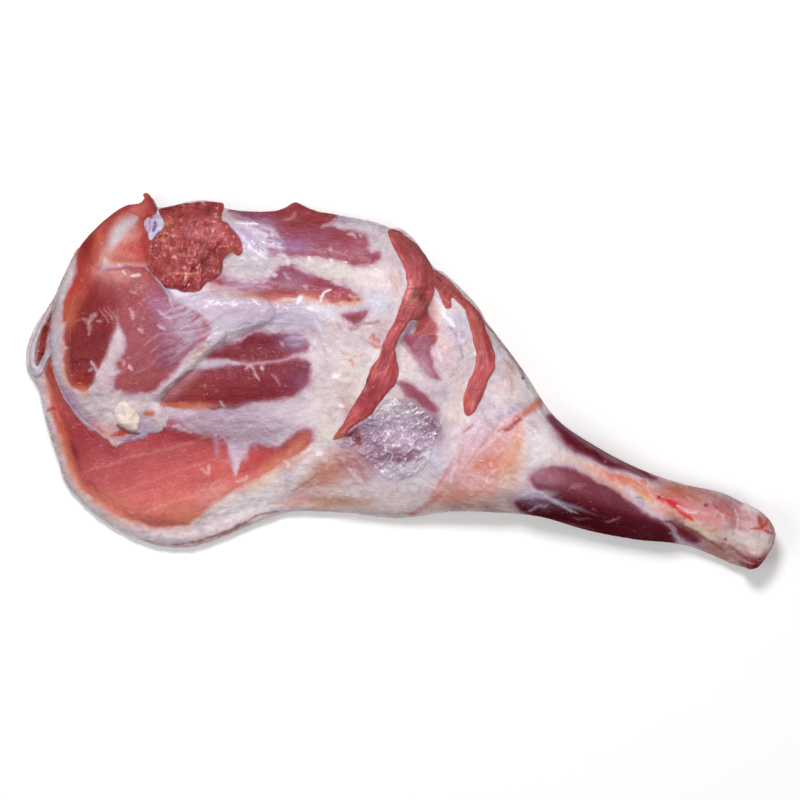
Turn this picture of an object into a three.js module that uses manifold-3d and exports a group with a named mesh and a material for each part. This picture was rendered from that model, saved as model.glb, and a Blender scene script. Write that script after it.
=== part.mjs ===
// A raw lamb foreleg, lying on the outer side of the shoulder with the rib side up.
// Blade end towards -X, shank towards +X, +Z up, millimetres. The origin is on the
// table under the middle of the leg's outline.
//
// Four solids: the meat with its muscles and cut straps, the sheet of cover fat that it
// lies in, the rim of cartilage along the top of the shoulder blade, and the knuckle at
// the end of the shank bone. Each is a closed shape over an area seen from above, with a
// top and an underside that are functions of the place.
import * as THREE from "three";
import Module from "manifold-3d";

const wasm = await Module();
wasm.setup();

// Driving sizes
const AREA = { west: -240, east: 240, south: -124, north: 124 };
const CELL = 5.8; // spacing of the surface points
const FINE_CELL = 4.6; // the same on straps, cartilage and knuckle
const WOBBLE = 0.1; // how far a point strays from its even place, as a share of the spacing
const GAP = 0.5; // clearance between neighbouring solids

const THIN_SHEET = 17; // height of the flat muscle sheet behind the blade
const BLEND = 5; // how softly one muscle runs into the next
const WIDEST = 0.36; // where a side bulges out most, as a share of the height there
const EDGE_BAND = 1.6; // height of the upright band at that place
const TOP_ROUNDING = 19; // how far in from its edge the top still curves over
const FOOT_ROUNDING = 13; // the same for the underside

const FAT_THICK = 5;
const FAT_TAPER = 9; // width over which the fat thins out under the meat
const FAT_FEATHER = 1.3; // how much further in its own thin edge stops
const FAT_LIP = 12; // height of the fat's rim where it shows
const FAT_END_X = 92; // the cover fat stops at the elbow
const FAT_END_WAVE = 5;

const CARTILAGE_DEEP = 5;
const CARTILAGE_PROUD = 1.8;

const KNUCKLE_X = 216; // the knuckle begins here
const MEAT_END = 3; // how far the meat reaches on over it
const KNUCKLE_MIDDLE = 15; // height of its middle above the table
const KNUCKLE_HALF = 13; // half its thickness
const SHAFT_HALF = 8; // half the thickness of the bone behind it

const SUNK = 4; // how deep a strap's underside is rooted in the meat

// The leg's outline seen from above. The third number is the rim: how far the meat's
// edge lies inside the outline, with fat or knuckle showing there, or if negative how
// far the fat's edge is tucked in under the meat.
const OUTLINE = [
  [-235, 14, 7], [-230, 34, 6], [-220, 51, 3], [-210, 73, -6], [-200, 88.5, -9], [-180, 107.5, -9],
  [-170, 112, -9], [-153, 109.5, -9], [-124, 114.5, -9], [-109, 108.8, -9], [-80, 107.5, -9],
  [-66, 111.2, -9], [-38, 104.6, -9], [-18, 100.8, -9], [2, 92.6, -9], [12, 83.8, -9], [22, 70.6, -9],
  [37, 56.8, -9], [57, 33.6, -9], [77.5, 6.3, -9], [97.5, -23, -9], [118, -38, -9], [148, -54.2, -9],
  [178, -65, -9], [202, -70.2, -9], [216, -76.8, -9], [229, -85.2, -9], [235, -96, -9],
  [231, -107.5, -9], [223.5, -117.6, -9], [214, -117, -9], [193, -108.3, -9], [178, -103.3, -9],
  [148, -100.2, -9], [118, -94.5, -9], [88, -85.8, -9], [62, -83.2, -9], [32, -82.6, 0],
  [-3, -86.4, 3], [-33, -83.3, 3.5], [-70, -82.5, 7], [-94, -90.2, 9], [-114, -98.9, 11],
  [-134, -104.6, 11], [-152, -103, 10], [-175, -94.6, 8.5], [-195, -80.5, 7], [-209.5, -66.5, 6],
  [-215, -50, 6], [-222, -28, 5.5], [-228.5, -2, 5], [-233.5, 4.5, 6],
];

// The muscles and lumps of fat that shape the upper side. Each is a ridge between two
// ends, and an end is given by x, y, half width and height above the table.
const MASSES = [
  [[-158, 38, 68, 33], [-30, 24, 90, 42]], // the shoulder as a whole
  [[-20, -6, 82, 42], [82, -44, 44, 38]], // the upper arm and the elbow
  [[-190, 18, 42, 35], [-120, 36, 34, 41]], // muscle in the hollow of the blade
  [[-182, 78, 28, 32], [-130, 86, 29, 37]], // torn muscle over its front edge
  [[-104, 84, 25, 42], [-22, 72, 30, 49]], // front muscle of the shoulder
  [[-128, 48, 19, 41], [-50, 40, 28, 47]], // silver band under it
  [[-140, -4, 17, 30], [-62, 4, 26, 43]], // two dark muscles behind the blade
  [[-150, -24, 11, 23], [-52, -22, 20, 36]], // fascia along them
  [[-165, -88, 15, 20], [-52, -50, 20, 27]], // thick rim of the muscle sheet
  [[-36, 10, 34, 49], [-6, 54, 34, 53]], // fat over the shoulder joint
  [[4, -4, 32, 46], [32, 22, 30, 45]], // upper arm
  [[26, 52, 20, 38], [74, -2, 27, 39]],
  [[-12, -44, 30, 39], [14, -36, 30, 43]],
  [[38, -46, 32, 42], [84, -40, 32, 42]], // elbow
  [[-34, -68, 20, 25], [60, -66, 22, 34]],
  [[88, -66, 22, 40], [162, -86, 17, 32]], // belly of the shank
  [[92, -32, 15, 36], [156, -62, 12, 28]], // front muscle of the shank
  [[98, -52, 22, 39], [214, -93, 20, 28]], // tendons between the two
];

// Straps that stand out on the meat, as lines of x, y and half width.
const BREAST_STRAP = [
  [-2, 92, 5], [5, 82, 7.5], [11, 66, 8.5], [11, 52, 8.5], [3, 38, 6], [-6, 22, 5], [-10, 8, 8],
  [-16, -6, 9], [-25, -20, 6.5], [-34, -30, 3.5], [-40, -35, 1.8],
];
const ELBOW_STRAP = [
  [24, 66, 4], [36, 54, 4.5], [46, 42, 5], [51, 26, 5.5], [54, 10, 5.5], [48, -4, 6], [44, -17, 4],
];
const TORN_TIP = [[-161, 104, 6.5], [-158.5, 110, 4.4], [-159.5, 114.5, 3], [-161.2, 116.6, 2.2]];
const GRISTLE_KNOB = [[-172, -25, 6.5], [-170, -18, 6]];
const CARTILAGE = [
  [-202, 71, 4], [-210.5, 55, 4.8], [-214.5, 36, 5], [-214, 16, 5], [-206, -6, 5], [-194, -23, 4.4],
];

// Slabs of muscle with an edge of their own, as outlines.
const BLADE_SLAB = [
  [-206, 44], [-196, 66], [-180, 70], [-163, 71], [-150, 60], [-138, 52], [-115, 56], [-85, 53],
  [-78, 40], [-96, 30], [-113, 22], [-124, 13], [-135, 3], [-147, -8], [-158, -13], [-176, -12],
  [-194, -8], [-205, 6],
];
const TORN_SLAB = [
  [-158, 74], [-160, 90], [-157, 105], [-140, 109.5], [-124, 111.5], [-115, 109.5], [-111, 99], [-103, 93],
  [-99, 84], [-109, 77], [-112, 69], [-122, 60], [-133, 55], [-144, 58], [-152, 66],
];

const clamp = (value, low = 0, high = 1) => Math.min(high, Math.max(low, value));
const smooth = (t) => clamp(t) ** 2 * (3 - 2 * clamp(t));
// A quarter of a circle: 0 at the edge, 1 from a full radius in.
const quarter = (t) => Math.sqrt(1 - (1 - clamp(t)) ** 2);
// The greater and the smaller of two distances, with the corner between them rounded.
const softMax = (a, b, soft) => soft * Math.log(Math.exp(a / soft) + Math.exp(b / soft));
const softMin = (a, b, soft) => -softMax(-a, -b, soft);

// A smooth line through points, cut into short straight stretches.
function smoothLine(points, closed, steps) {
  const places = points.map(([x, y, third = 0]) => new THREE.Vector3(x, y, third));
  return new THREE.CatmullRomCurve3(places, closed, "centripetal").getPoints(steps);
}

// How far a place is from the stretch a-b, and how far along it its nearest point lies.
function nearest(x, y, a, b) {
  const dx = b.x - a.x;
  const dy = b.y - a.y;
  const along = clamp(((x - a.x) * dx + (y - a.y) * dy) / (dx * dx + dy * dy));
  return [Math.hypot(x - a.x - along * dx, y - a.y - along * dy), along];
}

// For a closed outline: how far inside it a place is, negative outside, with the
// third number of the outline's nearest point.
function areaInside(points, steps) {
  const line = smoothLine(points, true, steps);
  return (x, y) => {
    let best = Infinity;
    let third = 0;
    let within = false;
    for (let i = 0; i < steps; i++) {
      const [a, b] = [line[i], line[i + 1]];
      const [far, along] = nearest(x, y, a, b);
      if (far < best) {
        best = far;
        third = a.z + (b.z - a.z) * along;
      }
      if (a.y > y !== b.y > y && x < a.x + ((y - a.y) / (b.y - a.y)) * (b.x - a.x)) within = !within;
    }
    return [within ? best : -best, third];
  };
}

// The same for a strap, whose third number is its half width.
function strapInside(points, steps = 36) {
  const line = smoothLine(points, false, steps);
  return (x, y) => {
    let best = -Infinity;
    for (let i = 0; i < steps; i++) {
      const [far, along] = nearest(x, y, line[i], line[i + 1]);
      best = Math.max(best, line[i].z + (line[i + 1].z - line[i].z) * along - far);
    }
    return best;
  };
}

const outline = areaInside(OUTLINE, 400);

function meatInside(x, y) {
  const [inside, rim] = outline(x, y);
  return softMin(inside - Math.max(0, rim), KNUCKLE_X + MEAT_END - x, 1);
}

// How far a place is inside the fat, with its tucked edges moved in by a factor.
function fatInside(x, y, feather) {
  const [inside, rim] = outline(x, y);
  const end = FAT_END_X - FAT_END_WAVE * (feather + Math.sin(y / 16));
  return Math.min(inside + feather * Math.min(0, rim), end - x);
}

// Height of the muscles above the table, each running softly into its neighbours.
function muscleHeight(x, y) {
  let sum = Math.exp(THIN_SHEET / BLEND);
  for (const [[ax, ay, aHalf, aHigh], [bx, by, bHalf, bHigh]] of MASSES) {
    const [far, along] = nearest(x, y, { x: ax, y: ay }, { x: bx, y: by });
    const half = aHalf + (bHalf - aHalf) * along;
    const high = aHigh + (bHigh - aHigh) * along;
    if (far < half) sum += Math.exp((high * Math.sqrt(1 - (far / half) ** 2)) / BLEND) - 1;
  }
  return BLEND * Math.log(sum);
}

function meatTop(x, y) {
  const high = muscleHeight(x, y);
  const edge = WIDEST * high + EDGE_BAND;
  return edge + (high - edge) * quarter(meatInside(x, y) / Math.min(TOP_ROUNDING, 0.75 * high));
}

// The underside curves in to the table, or to the bed of fat where there is one.
function meatFoot(x, y) {
  const bed = FAT_THICK * smooth(fatInside(x, y, 1) / FAT_TAPER);
  const curve = WIDEST * muscleHeight(x, y) * (1 - quarter(meatInside(x, y) / FOOT_ROUNDING));
  return Math.max(curve, bed);
}

// A closed shape over the area where inside(x, y) is above 0, between its foot and its top.
// Net points near the area's edge are moved onto it, and the triangles that still cross
// the edge are cut along it.
function shape(inside, foot, top, cell = CELL) {
  const rise = (cell * Math.sqrt(3)) / 2;
  const columns = Math.ceil((AREA.east - AREA.west) / cell) + 1;
  const rows = Math.ceil((AREA.north - AREA.south) / rise) + 1;
  const points = [];
  for (let row = 0; row < rows; row++)
    for (let column = 0; column < columns; column++) {
      const x = AREA.west + (column + (row % 2) / 2 + WOBBLE * Math.sin(row * 2.1 + column)) * cell;
      const y = AREA.south + row * rise + WOBBLE * Math.sin(column * 1.7 - row) * cell;
      points.push(ontoEdge(inside, x, y, 0.32 * cell));
    }

  // The place where the edge crosses the line between two net points, made once.
  const crossings = new Map();
  const crossing = (a, b) => {
    const key = `${Math.min(a, b)}-${Math.max(a, b)}`;
    if (!crossings.has(key)) {
      const [p, q] = [points[a], points[b]];
      const t = p.inside / (p.inside - q.inside);
      crossings.set(key, points.length);
      points.push({ x: p.x + t * (q.x - p.x), y: p.y + t * (q.y - p.y), inside: 0 });
    }
    return crossings.get(key);
  };

  const faces = [];
  const addInsidePart = (corners) => {
    if (!corners.some((a) => points[a].inside > 0)) return;
    const kept = [];
    corners.forEach((a, i) => {
      const b = corners[(i + 1) % 3];
      if (points[a].inside >= 0) kept.push(a);
      if (points[a].inside * points[b].inside < 0) kept.push(crossing(a, b));
    });
    for (let i = 1; i + 1 < kept.length; i++) faces.push([kept[0], kept[i], kept[i + 1]]);
  };
  for (let row = 0; row + 1 < rows; row++)
    for (let column = 0; column + 1 < columns; column++) {
      const low = row * columns + column;
      const high = low + columns;
      const split = row % 2
        ? [[low, low + 1, high + 1], [low, high + 1, high]]
        : [[low, low + 1, high], [low + 1, high + 1, high]];
      split.forEach(addInsidePart);
    }
  return closed(points, faces, foot, top);
}

// A net point, moved onto the area's edge if it is nearer to it than reach.
function ontoEdge(inside, x, y, reach) {
  const at = inside(x, y);
  if (Math.abs(at) > reach) return { x, y, inside: at };
  const step = 0.05;
  const gx = (inside(x + step, y) - inside(x - step, y)) / (2 * step);
  const gy = (inside(x, y + step) - inside(x, y - step)) / (2 * step);
  const steep = Math.max(0.4, gx * gx + gy * gy);
  return { x: x - (at * gx) / steep, y: y - (at * gy) / steep, inside: 0 };
}

// The faces' open edges, each from one point to the next, anticlockwise round the faces.
function openEdges(faces) {
  const edges = new Map();
  for (const [a, b, c] of faces)
    for (const [from, to] of [[a, b], [b, c], [c, a]])
      if (!edges.delete(`${to}-${from}`)) edges.set(`${from}-${to}`, [from, to]);
  return [...edges.values()];
}

// The faces again, with each level stretch of the foot filled by few large ones.
function fewerWhereLevel(points, faces, foot) {
  const heights = points.map(({ x, y }) => foot(x, y));
  const isLevel = (face) => face.every((a) => heights[a] === heights[face[0]]);
  const next = new Map(openEdges(faces.filter(isLevel)));
  const filled = faces.filter((face) => !isLevel(face));
  while (next.size) {
    const loop = [];
    for (let at = next.keys().next().value; next.has(at); ) {
      loop.push(at);
      const to = next.get(at);
      next.delete(at);
      at = to;
    }
    const around = loop.map((a) => new THREE.Vector2(points[a].x, points[a].y));
    for (const face of THREE.ShapeUtils.triangulateShape(around, [])) filled.push(face.map((i) => loop[i]));
  }
  return filled;
}

// Makes a top and a foot of flat faces, and closes the side between their rims.
function closed(points, faces, foot, top) {
  const count = points.length;
  const vertProperties = new Float32Array(count * 6);
  points.forEach(({ x, y }, i) => {
    vertProperties.set([x, y, top(x, y)], i * 3);
    vertProperties.set([x, y, foot(x, y)], (count + i) * 3);
  });
  const triangles = faces.flat();
  for (const [a, b, c] of fewerWhereLevel(points, faces, foot)) triangles.push(a + count, c + count, b + count);
  for (const [from, to] of openEdges(faces))
    triangles.push(to, from, from + count, to, from + count, to + count);
  return new wasm.Manifold(
    new wasm.Mesh({ numProp: 3, vertProperties, triVerts: new Uint32Array(triangles) }));
}

// A strap or slab on the meat, with a rounded edge and its underside rooted in it.
function raised(inside, rise, rounding) {
  const top = (x, y) => meatTop(x, y) + rise(x, y) * (0.3 + 0.7 * quarter(inside(x, y) / rounding));
  return shape(inside, (x, y) => meatTop(x, y) - SUNK, top, FINE_CELL);
}

function cartilage(grown = 0) {
  const strap = strapInside(CARTILAGE);
  const inside = (x, y) => softMin(strap(x, y), meatInside(x, y) - 1.5, 1) + grown;
  const foot = (x, y) => meatTop(x, y) - CARTILAGE_DEEP - grown;
  const top = (x, y) => meatTop(x, y) + CARTILAGE_PROUD * quarter((inside(x, y) + 1) / 5) + grown;
  return shape(inside, foot, top, FINE_CELL);
}

// The knuckle fills the outline past the meat, and the bone behind it runs back inside.
function shankBone(grown = 0) {
  const shaft = strapInside([[182, -80, SHAFT_HALF], [222, -97, SHAFT_HALF + 2]], 4);
  const knuckle = (x, y) => softMin(outline(x, y)[0], x - KNUCKLE_X, 0.5);
  const inside = (x, y) => softMax(knuckle(x, y), shaft(x, y), 2) + grown;
  const half = (x, y) => {
    const full = SHAFT_HALF + (KNUCKLE_HALF - SHAFT_HALF) * smooth((x - KNUCKLE_X + 12) / 16);
    return full * (0.3 + 0.7 * quarter(inside(x, y) / 9)) + grown;
  };
  const foot = (x, y) => KNUCKLE_MIDDLE - half(x, y);
  return shape(inside, foot, (x, y) => KNUCKLE_MIDDLE + half(x, y), FINE_CELL);
}

// The muscles without the straps, which is all that the fat meets.
function body(grown = 0) {
  const inside = (x, y) => meatInside(x, y) + grown;
  return shape(inside, (x, y) => meatFoot(x, y) - grown, (x, y) => meatTop(x, y) + grown);
}

function meat() {
  const bladeSlab = areaInside(BLADE_SLAB, 90);
  const tornSlab = areaInside(TORN_SLAB, 80);
  return body()
    .add(raised((x, y) => bladeSlab(x, y)[0], (x) => 4.5 * smooth((x + 210) / 60), 5))
    .add(raised((x, y) => tornSlab(x, y)[0], () => 4.5, 5))
    .add(raised(strapInside(TORN_TIP), () => 4, 4))
    .add(raised(strapInside(BREAST_STRAP), () => 4.2, 6))
    .add(raised(strapInside(ELBOW_STRAP), () => 3.2, 5))
    .add(raised(strapInside(GRISTLE_KNOB), () => 5, 6))
    .subtract(cartilage(GAP))
    .subtract(shankBone(GAP));
}

// The fat rises round the meat's edge as a soft rim where it shows.
function coverFat() {
  const inside = (x, y) => fatInside(x, y, FAT_FEATHER);
  const foot = (x, y) => 0.3 * FAT_LIP * (1 - quarter(inside(x, y) / 6));
  const top = (x, y) => FAT_LIP * (0.45 + 0.55 * quarter(inside(x, y) / 8));
  return shape(inside, foot, top).subtract(body(GAP));
}

const leg = new THREE.Group();

function addPart(name, part, look) {
  const { vertProperties, triVerts } = part.getMesh();
  const geometry = new THREE.BufferGeometry();
  geometry.setAttribute("position", new THREE.BufferAttribute(vertProperties, 3));
  geometry.setIndex(new THREE.BufferAttribute(triVerts, 1));
  geometry.computeVertexNormals();
  const mesh = new THREE.Mesh(geometry, new THREE.MeshStandardMaterial({ metalness: 0, ...look }));
  mesh.name = name;
  leg.add(mesh);
}

addPart("meat", meat(), { color: 0xa8484a, roughness: 0.35 });
addPart("cover_fat", coverFat(), { color: 0xe6d9d2, roughness: 0.5 });
addPart("blade_cartilage", cartilage(), { color: 0xb4b0c4, roughness: 0.3 });
addPart("shank_bone", shankBone(), { color: 0xdcb8a6, roughness: 0.4 });

export default leg;
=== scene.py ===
"""A raw lamb foreleg, seen from straight above with its rib side up.

Metres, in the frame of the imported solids. Places on the leg are given in millimetres,
x towards the knuckle and y towards the front edge of the shoulder. Colours are 0 to 255.
"""

import math

import bmesh
import bpy
import numpy as np
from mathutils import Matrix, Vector
from mathutils.bvhtree import BVHTree


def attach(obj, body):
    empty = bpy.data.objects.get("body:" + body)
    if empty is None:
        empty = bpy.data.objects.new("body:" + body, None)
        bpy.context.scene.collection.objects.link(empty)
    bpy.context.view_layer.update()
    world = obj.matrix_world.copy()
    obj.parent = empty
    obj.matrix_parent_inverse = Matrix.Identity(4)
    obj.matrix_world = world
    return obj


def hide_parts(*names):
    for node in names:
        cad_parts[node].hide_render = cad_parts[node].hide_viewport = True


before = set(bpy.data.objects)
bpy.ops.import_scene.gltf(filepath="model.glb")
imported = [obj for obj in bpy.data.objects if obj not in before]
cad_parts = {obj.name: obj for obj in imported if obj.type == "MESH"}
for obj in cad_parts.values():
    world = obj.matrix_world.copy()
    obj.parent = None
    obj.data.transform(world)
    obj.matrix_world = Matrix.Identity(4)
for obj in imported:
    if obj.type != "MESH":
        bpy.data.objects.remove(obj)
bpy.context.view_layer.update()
MM = 0.001


# ---------------------------------------------------------------- the meat
# One mass of raw muscle, cut from the ribs: dark and light red muscles side by side,
# bound by white fat and silver skin. Each muscle has its own outline, colour and grain.

MEAT_VOXEL = 1.05 * MM
SMOOTHING_ROUNDS = 14  # enough to take the flats of the solids away
UNDER_SHARE = 0.56  # share of the faces that stays once the underside is thinned
UNDER_TILT = -0.25  # what faces down more than this counts as the underside

# The run of the strands in the fat and silver skin, from the blade down to the knuckle.
FLOW = [(-240, 12), (-120, 22), (-40, 30), (20, 12), (60, -20), (110, -52), (165, -80), (240, -108)]
LEAN_COLOUR = (170, 80, 84)  # between the muscles, below their own colours
FAT_COLOUR = (212, 197, 202)
MILK_COLOUR = (196, 178, 200)  # of silver skin

# Muscles: outline, colour, run of the grain in degrees, rise above the fat round them,
# how thickly silver skin veils them, and how frayed their edges are.
MUSCLES = {
    "flat_sheet": (
        [(-223.5, 8), (-221.5, -8), (-218.5, -22), (-214.5, -38), (-210, -51), (-205, -62),
         (-191, -76), (-175, -86), (-155, -90.5), (-138, -90.5), (-128, -84.5), (-115, -74.5),
         (-102, -66.5), (-88, -59.5), (-72, -50), (-57, -40),
         (-55, -32), (-63, -32), (-72, -38), (-80, -41), (-92, -41), (-97, -47), (-101, -53),
         (-104, -62), (-106, -54), (-109, -46), (-108, -36), (-115, -34), (-116, -47), (-119, -34),
         (-127, -34), (-134, -31), (-141, -26), (-146, -26), (-154, -29), (-169, -35),
         (-179, -38), (-190, -29), (-203, -16), (-213, 4)],
        (176, 80, 84), 18, 0.0, 0.0, 0.3),
    "outer_red": (
        [(-202, 86), (-203, 72), (-206, 60), (-211, 48), (-211.5, 36), (-208, 41), (-204, 50), (-199, 58),
         (-192, 64), (-188, 70), (-184, 78), (-180, 75), (-168, 73.8), (-158, 74.5), (-156, 90),
         (-156, 104), (-158, 116), (-170, 114), (-180, 109), (-190, 101), (-198, 94)],
        (168, 60, 56), 65, 0.3, 0.0, 0.3),
    "blade_dark": (
        [(-209.5, 34), (-209, 20), (-208.5, 8), (-206, 0), (-202, -5), (-197, -6), (-193.5, -3),
         (-190.5, 4), (-187.5, 10), (-184, 16), (-181, 22), (-179, 28), (-178.3, 31.5), (-177, 32.5),
         (-175, 44), (-176, 56), (-180, 69), (-188, 68), (-197, 61), (-205.5, 50), (-209.5, 42)],
        (126, 38, 42), 70, 0.2, 0.0, 0.2),
    "blade_pink": (
        [(-183, 68), (-178, 54), (-176, 42), (-174, 34), (-171.5, 27), (-171.3, 20), (-174, 14),
         (-177, 10), (-175.5, 7.5), (-172.5, 6), (-176, 3), (-177.8, 0), (-177.5, -4), (-173, -5),
         (-172, -6.3), (-163, -6.5), (-155, -6), (-148, -1), (-142, 5), (-138, 10), (-133, 17),
         (-127, 22), (-120, 27), (-119, 33), (-125, 40), (-134, 46), (-143, 51), (-149, 62),
         (-156, 70), (-165, 71.5), (-175, 70.5)],
        (160, 76, 82), 24, 0.2, 0.03, 0.2),
    "front_purple": (
        [(-107, 108), (-88, 108), (-74, 109), (-66, 112), (-58, 109), (-41, 105.5), (-43, 100),
         (-50, 96), (-42, 96.5), (-38, 94), (-30, 93), (-24, 91.5), (-21, 87), (-19.5, 80.5),
         (-13, 78.5), (-15, 73.5), (-22, 71.5), (-30, 72), (-35, 75), (-45, 76.5), (-55, 78.3),
         (-65, 78.5), (-78, 78), (-83, 84), (-82, 92), (-92, 96), (-100, 100)],
        (150, 72, 90), -8, 0.3, 0.05, 0.5),
    "front_dark": (
        [(-88, 109), (-72, 109), (-66, 113), (-56, 109), (-43, 106), (-42, 100), (-50, 96), (-62, 95),
         (-76, 99)],
        (148, 50, 54), -12, 0.3, 0.0, 0.4),
    "second_streak": (
        [(-118, 61), (-112, 66), (-106, 64), (-98, 61), (-90, 60), (-83, 62), (-78, 66), (-74, 70),
         (-68, 71), (-64, 69), (-60, 66), (-52, 64), (-43, 61), (-33, 57), (-27, 53), (-27, 49.5),
         (-34, 49), (-44, 50.5), (-52, 52), (-60, 54), (-66, 52), (-76, 51.5), (-88, 52.5), (-96, 54.5),
         (-108, 58.5)],
        (148, 62, 80), -6, 0.2, 0.04, 0.6),
    "rear_dark": (
        [(-121, 14), (-116, 18), (-110, 21), (-102, 23), (-97, 26.5), (-90, 28.8), (-80, 29.8), (-72, 29.5),
         (-64, 29), (-57, 24), (-58, 20), (-64, 17.5), (-70, 14.5), (-80, 13), (-90, 12), (-100, 11.5),
         (-112, 11.5)],
        (126, 40, 52), 4, 0.0, 0.0, 0.5),
    "rear_darkest": (
        [(-139, -1), (-133, 4), (-126, 7.5), (-118, 8.5), (-108, 9.5), (-98, 10), (-88, 11.5),
         (-75, 12.5), (-65, 13), (-57, 11.5), (-56, 4), (-58, -3), (-63, -7), (-68, -10.5), (-78, -12),
         (-90, -13.5), (-100, -15), (-112, -16.5), (-122, -16), (-135, -16), (-147, -15), (-149, -11),
         (-144, -6)],
        (132, 44, 54), 3, 0.0, 0.0, 0.5),
    "lip_slit": (
        [(-36, 40), (-30, 42), (-21, 43.5), (-24, 39), (-29, 36)],
        (134, 64, 78), 8, 0.0, 0.0, 0.4),
    "brick_triangle": (
        [(15, 46), (19, 38), (22, 30), (15, 28.5), (9, 29.5), (11, 37)],
        (160, 70, 68), 65, 0.0, 0.0, 0.3),
    "arm_purple": (
        [(2, 26.5), (10, 29), (19, 29), (21.5, 24), (19.3, 18), (19.6, 12), (22, 5), (25.5, 0), (21, 1.5),
         (14, 9), (7, 18)],
        (144, 66, 94), -50, 0.0, 0.04, 0.35),
    "arm_thin": (
        [(-1, -2), (6, -2.5), (12, -7), (18, -12), (22, -17), (20, -20), (12, -14.5), (4, -9)],
        (142, 70, 88), -45, 0.0, 0.04, 0.35),
    "maroon_corner": (
        [(-35, -34), (-27, -30), (-24, -38), (-29, -37)],
        (104, 42, 56), 0, 0.0, 0.04, 0.3),
    "shank_rear": (
        [(80, -60), (84, -56.5), (92, -55), (100, -54.5), (106, -55), (112, -57.5), (120, -61),
         (128, -65), (136, -70), (142, -75), (149, -80), (156, -85), (163, -88.5), (169, -94),
         (173, -100), (172, -104), (160, -104), (140, -101), (120, -96), (100, -90), (82, -85),
         (72, -78), (75, -74), (84, -72), (90, -70), (84, -66)],
        (98, 26, 42), -24, 0.5, 0.0, 0.25),
    "shank_front": (
        [(92, -22), (95, -28), (99, -34), (104, -41), (112, -46), (120, -49.5), (130, -53),
         (140, -56), (150, -59), (160, -61.5), (156, -57), (140, -49), (120, -38), (100, -24)],
        (108, 30, 46), -28, 0.4, 0.0, 0.2),
    "shank_sliver": (
        [(164, -88), (172, -90), (180, -93.5), (188, -99), (186, -102), (178, -99), (170, -94)],
        (108, 34, 54), -30, 0.1, 0.04, 0.4),
}

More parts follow.
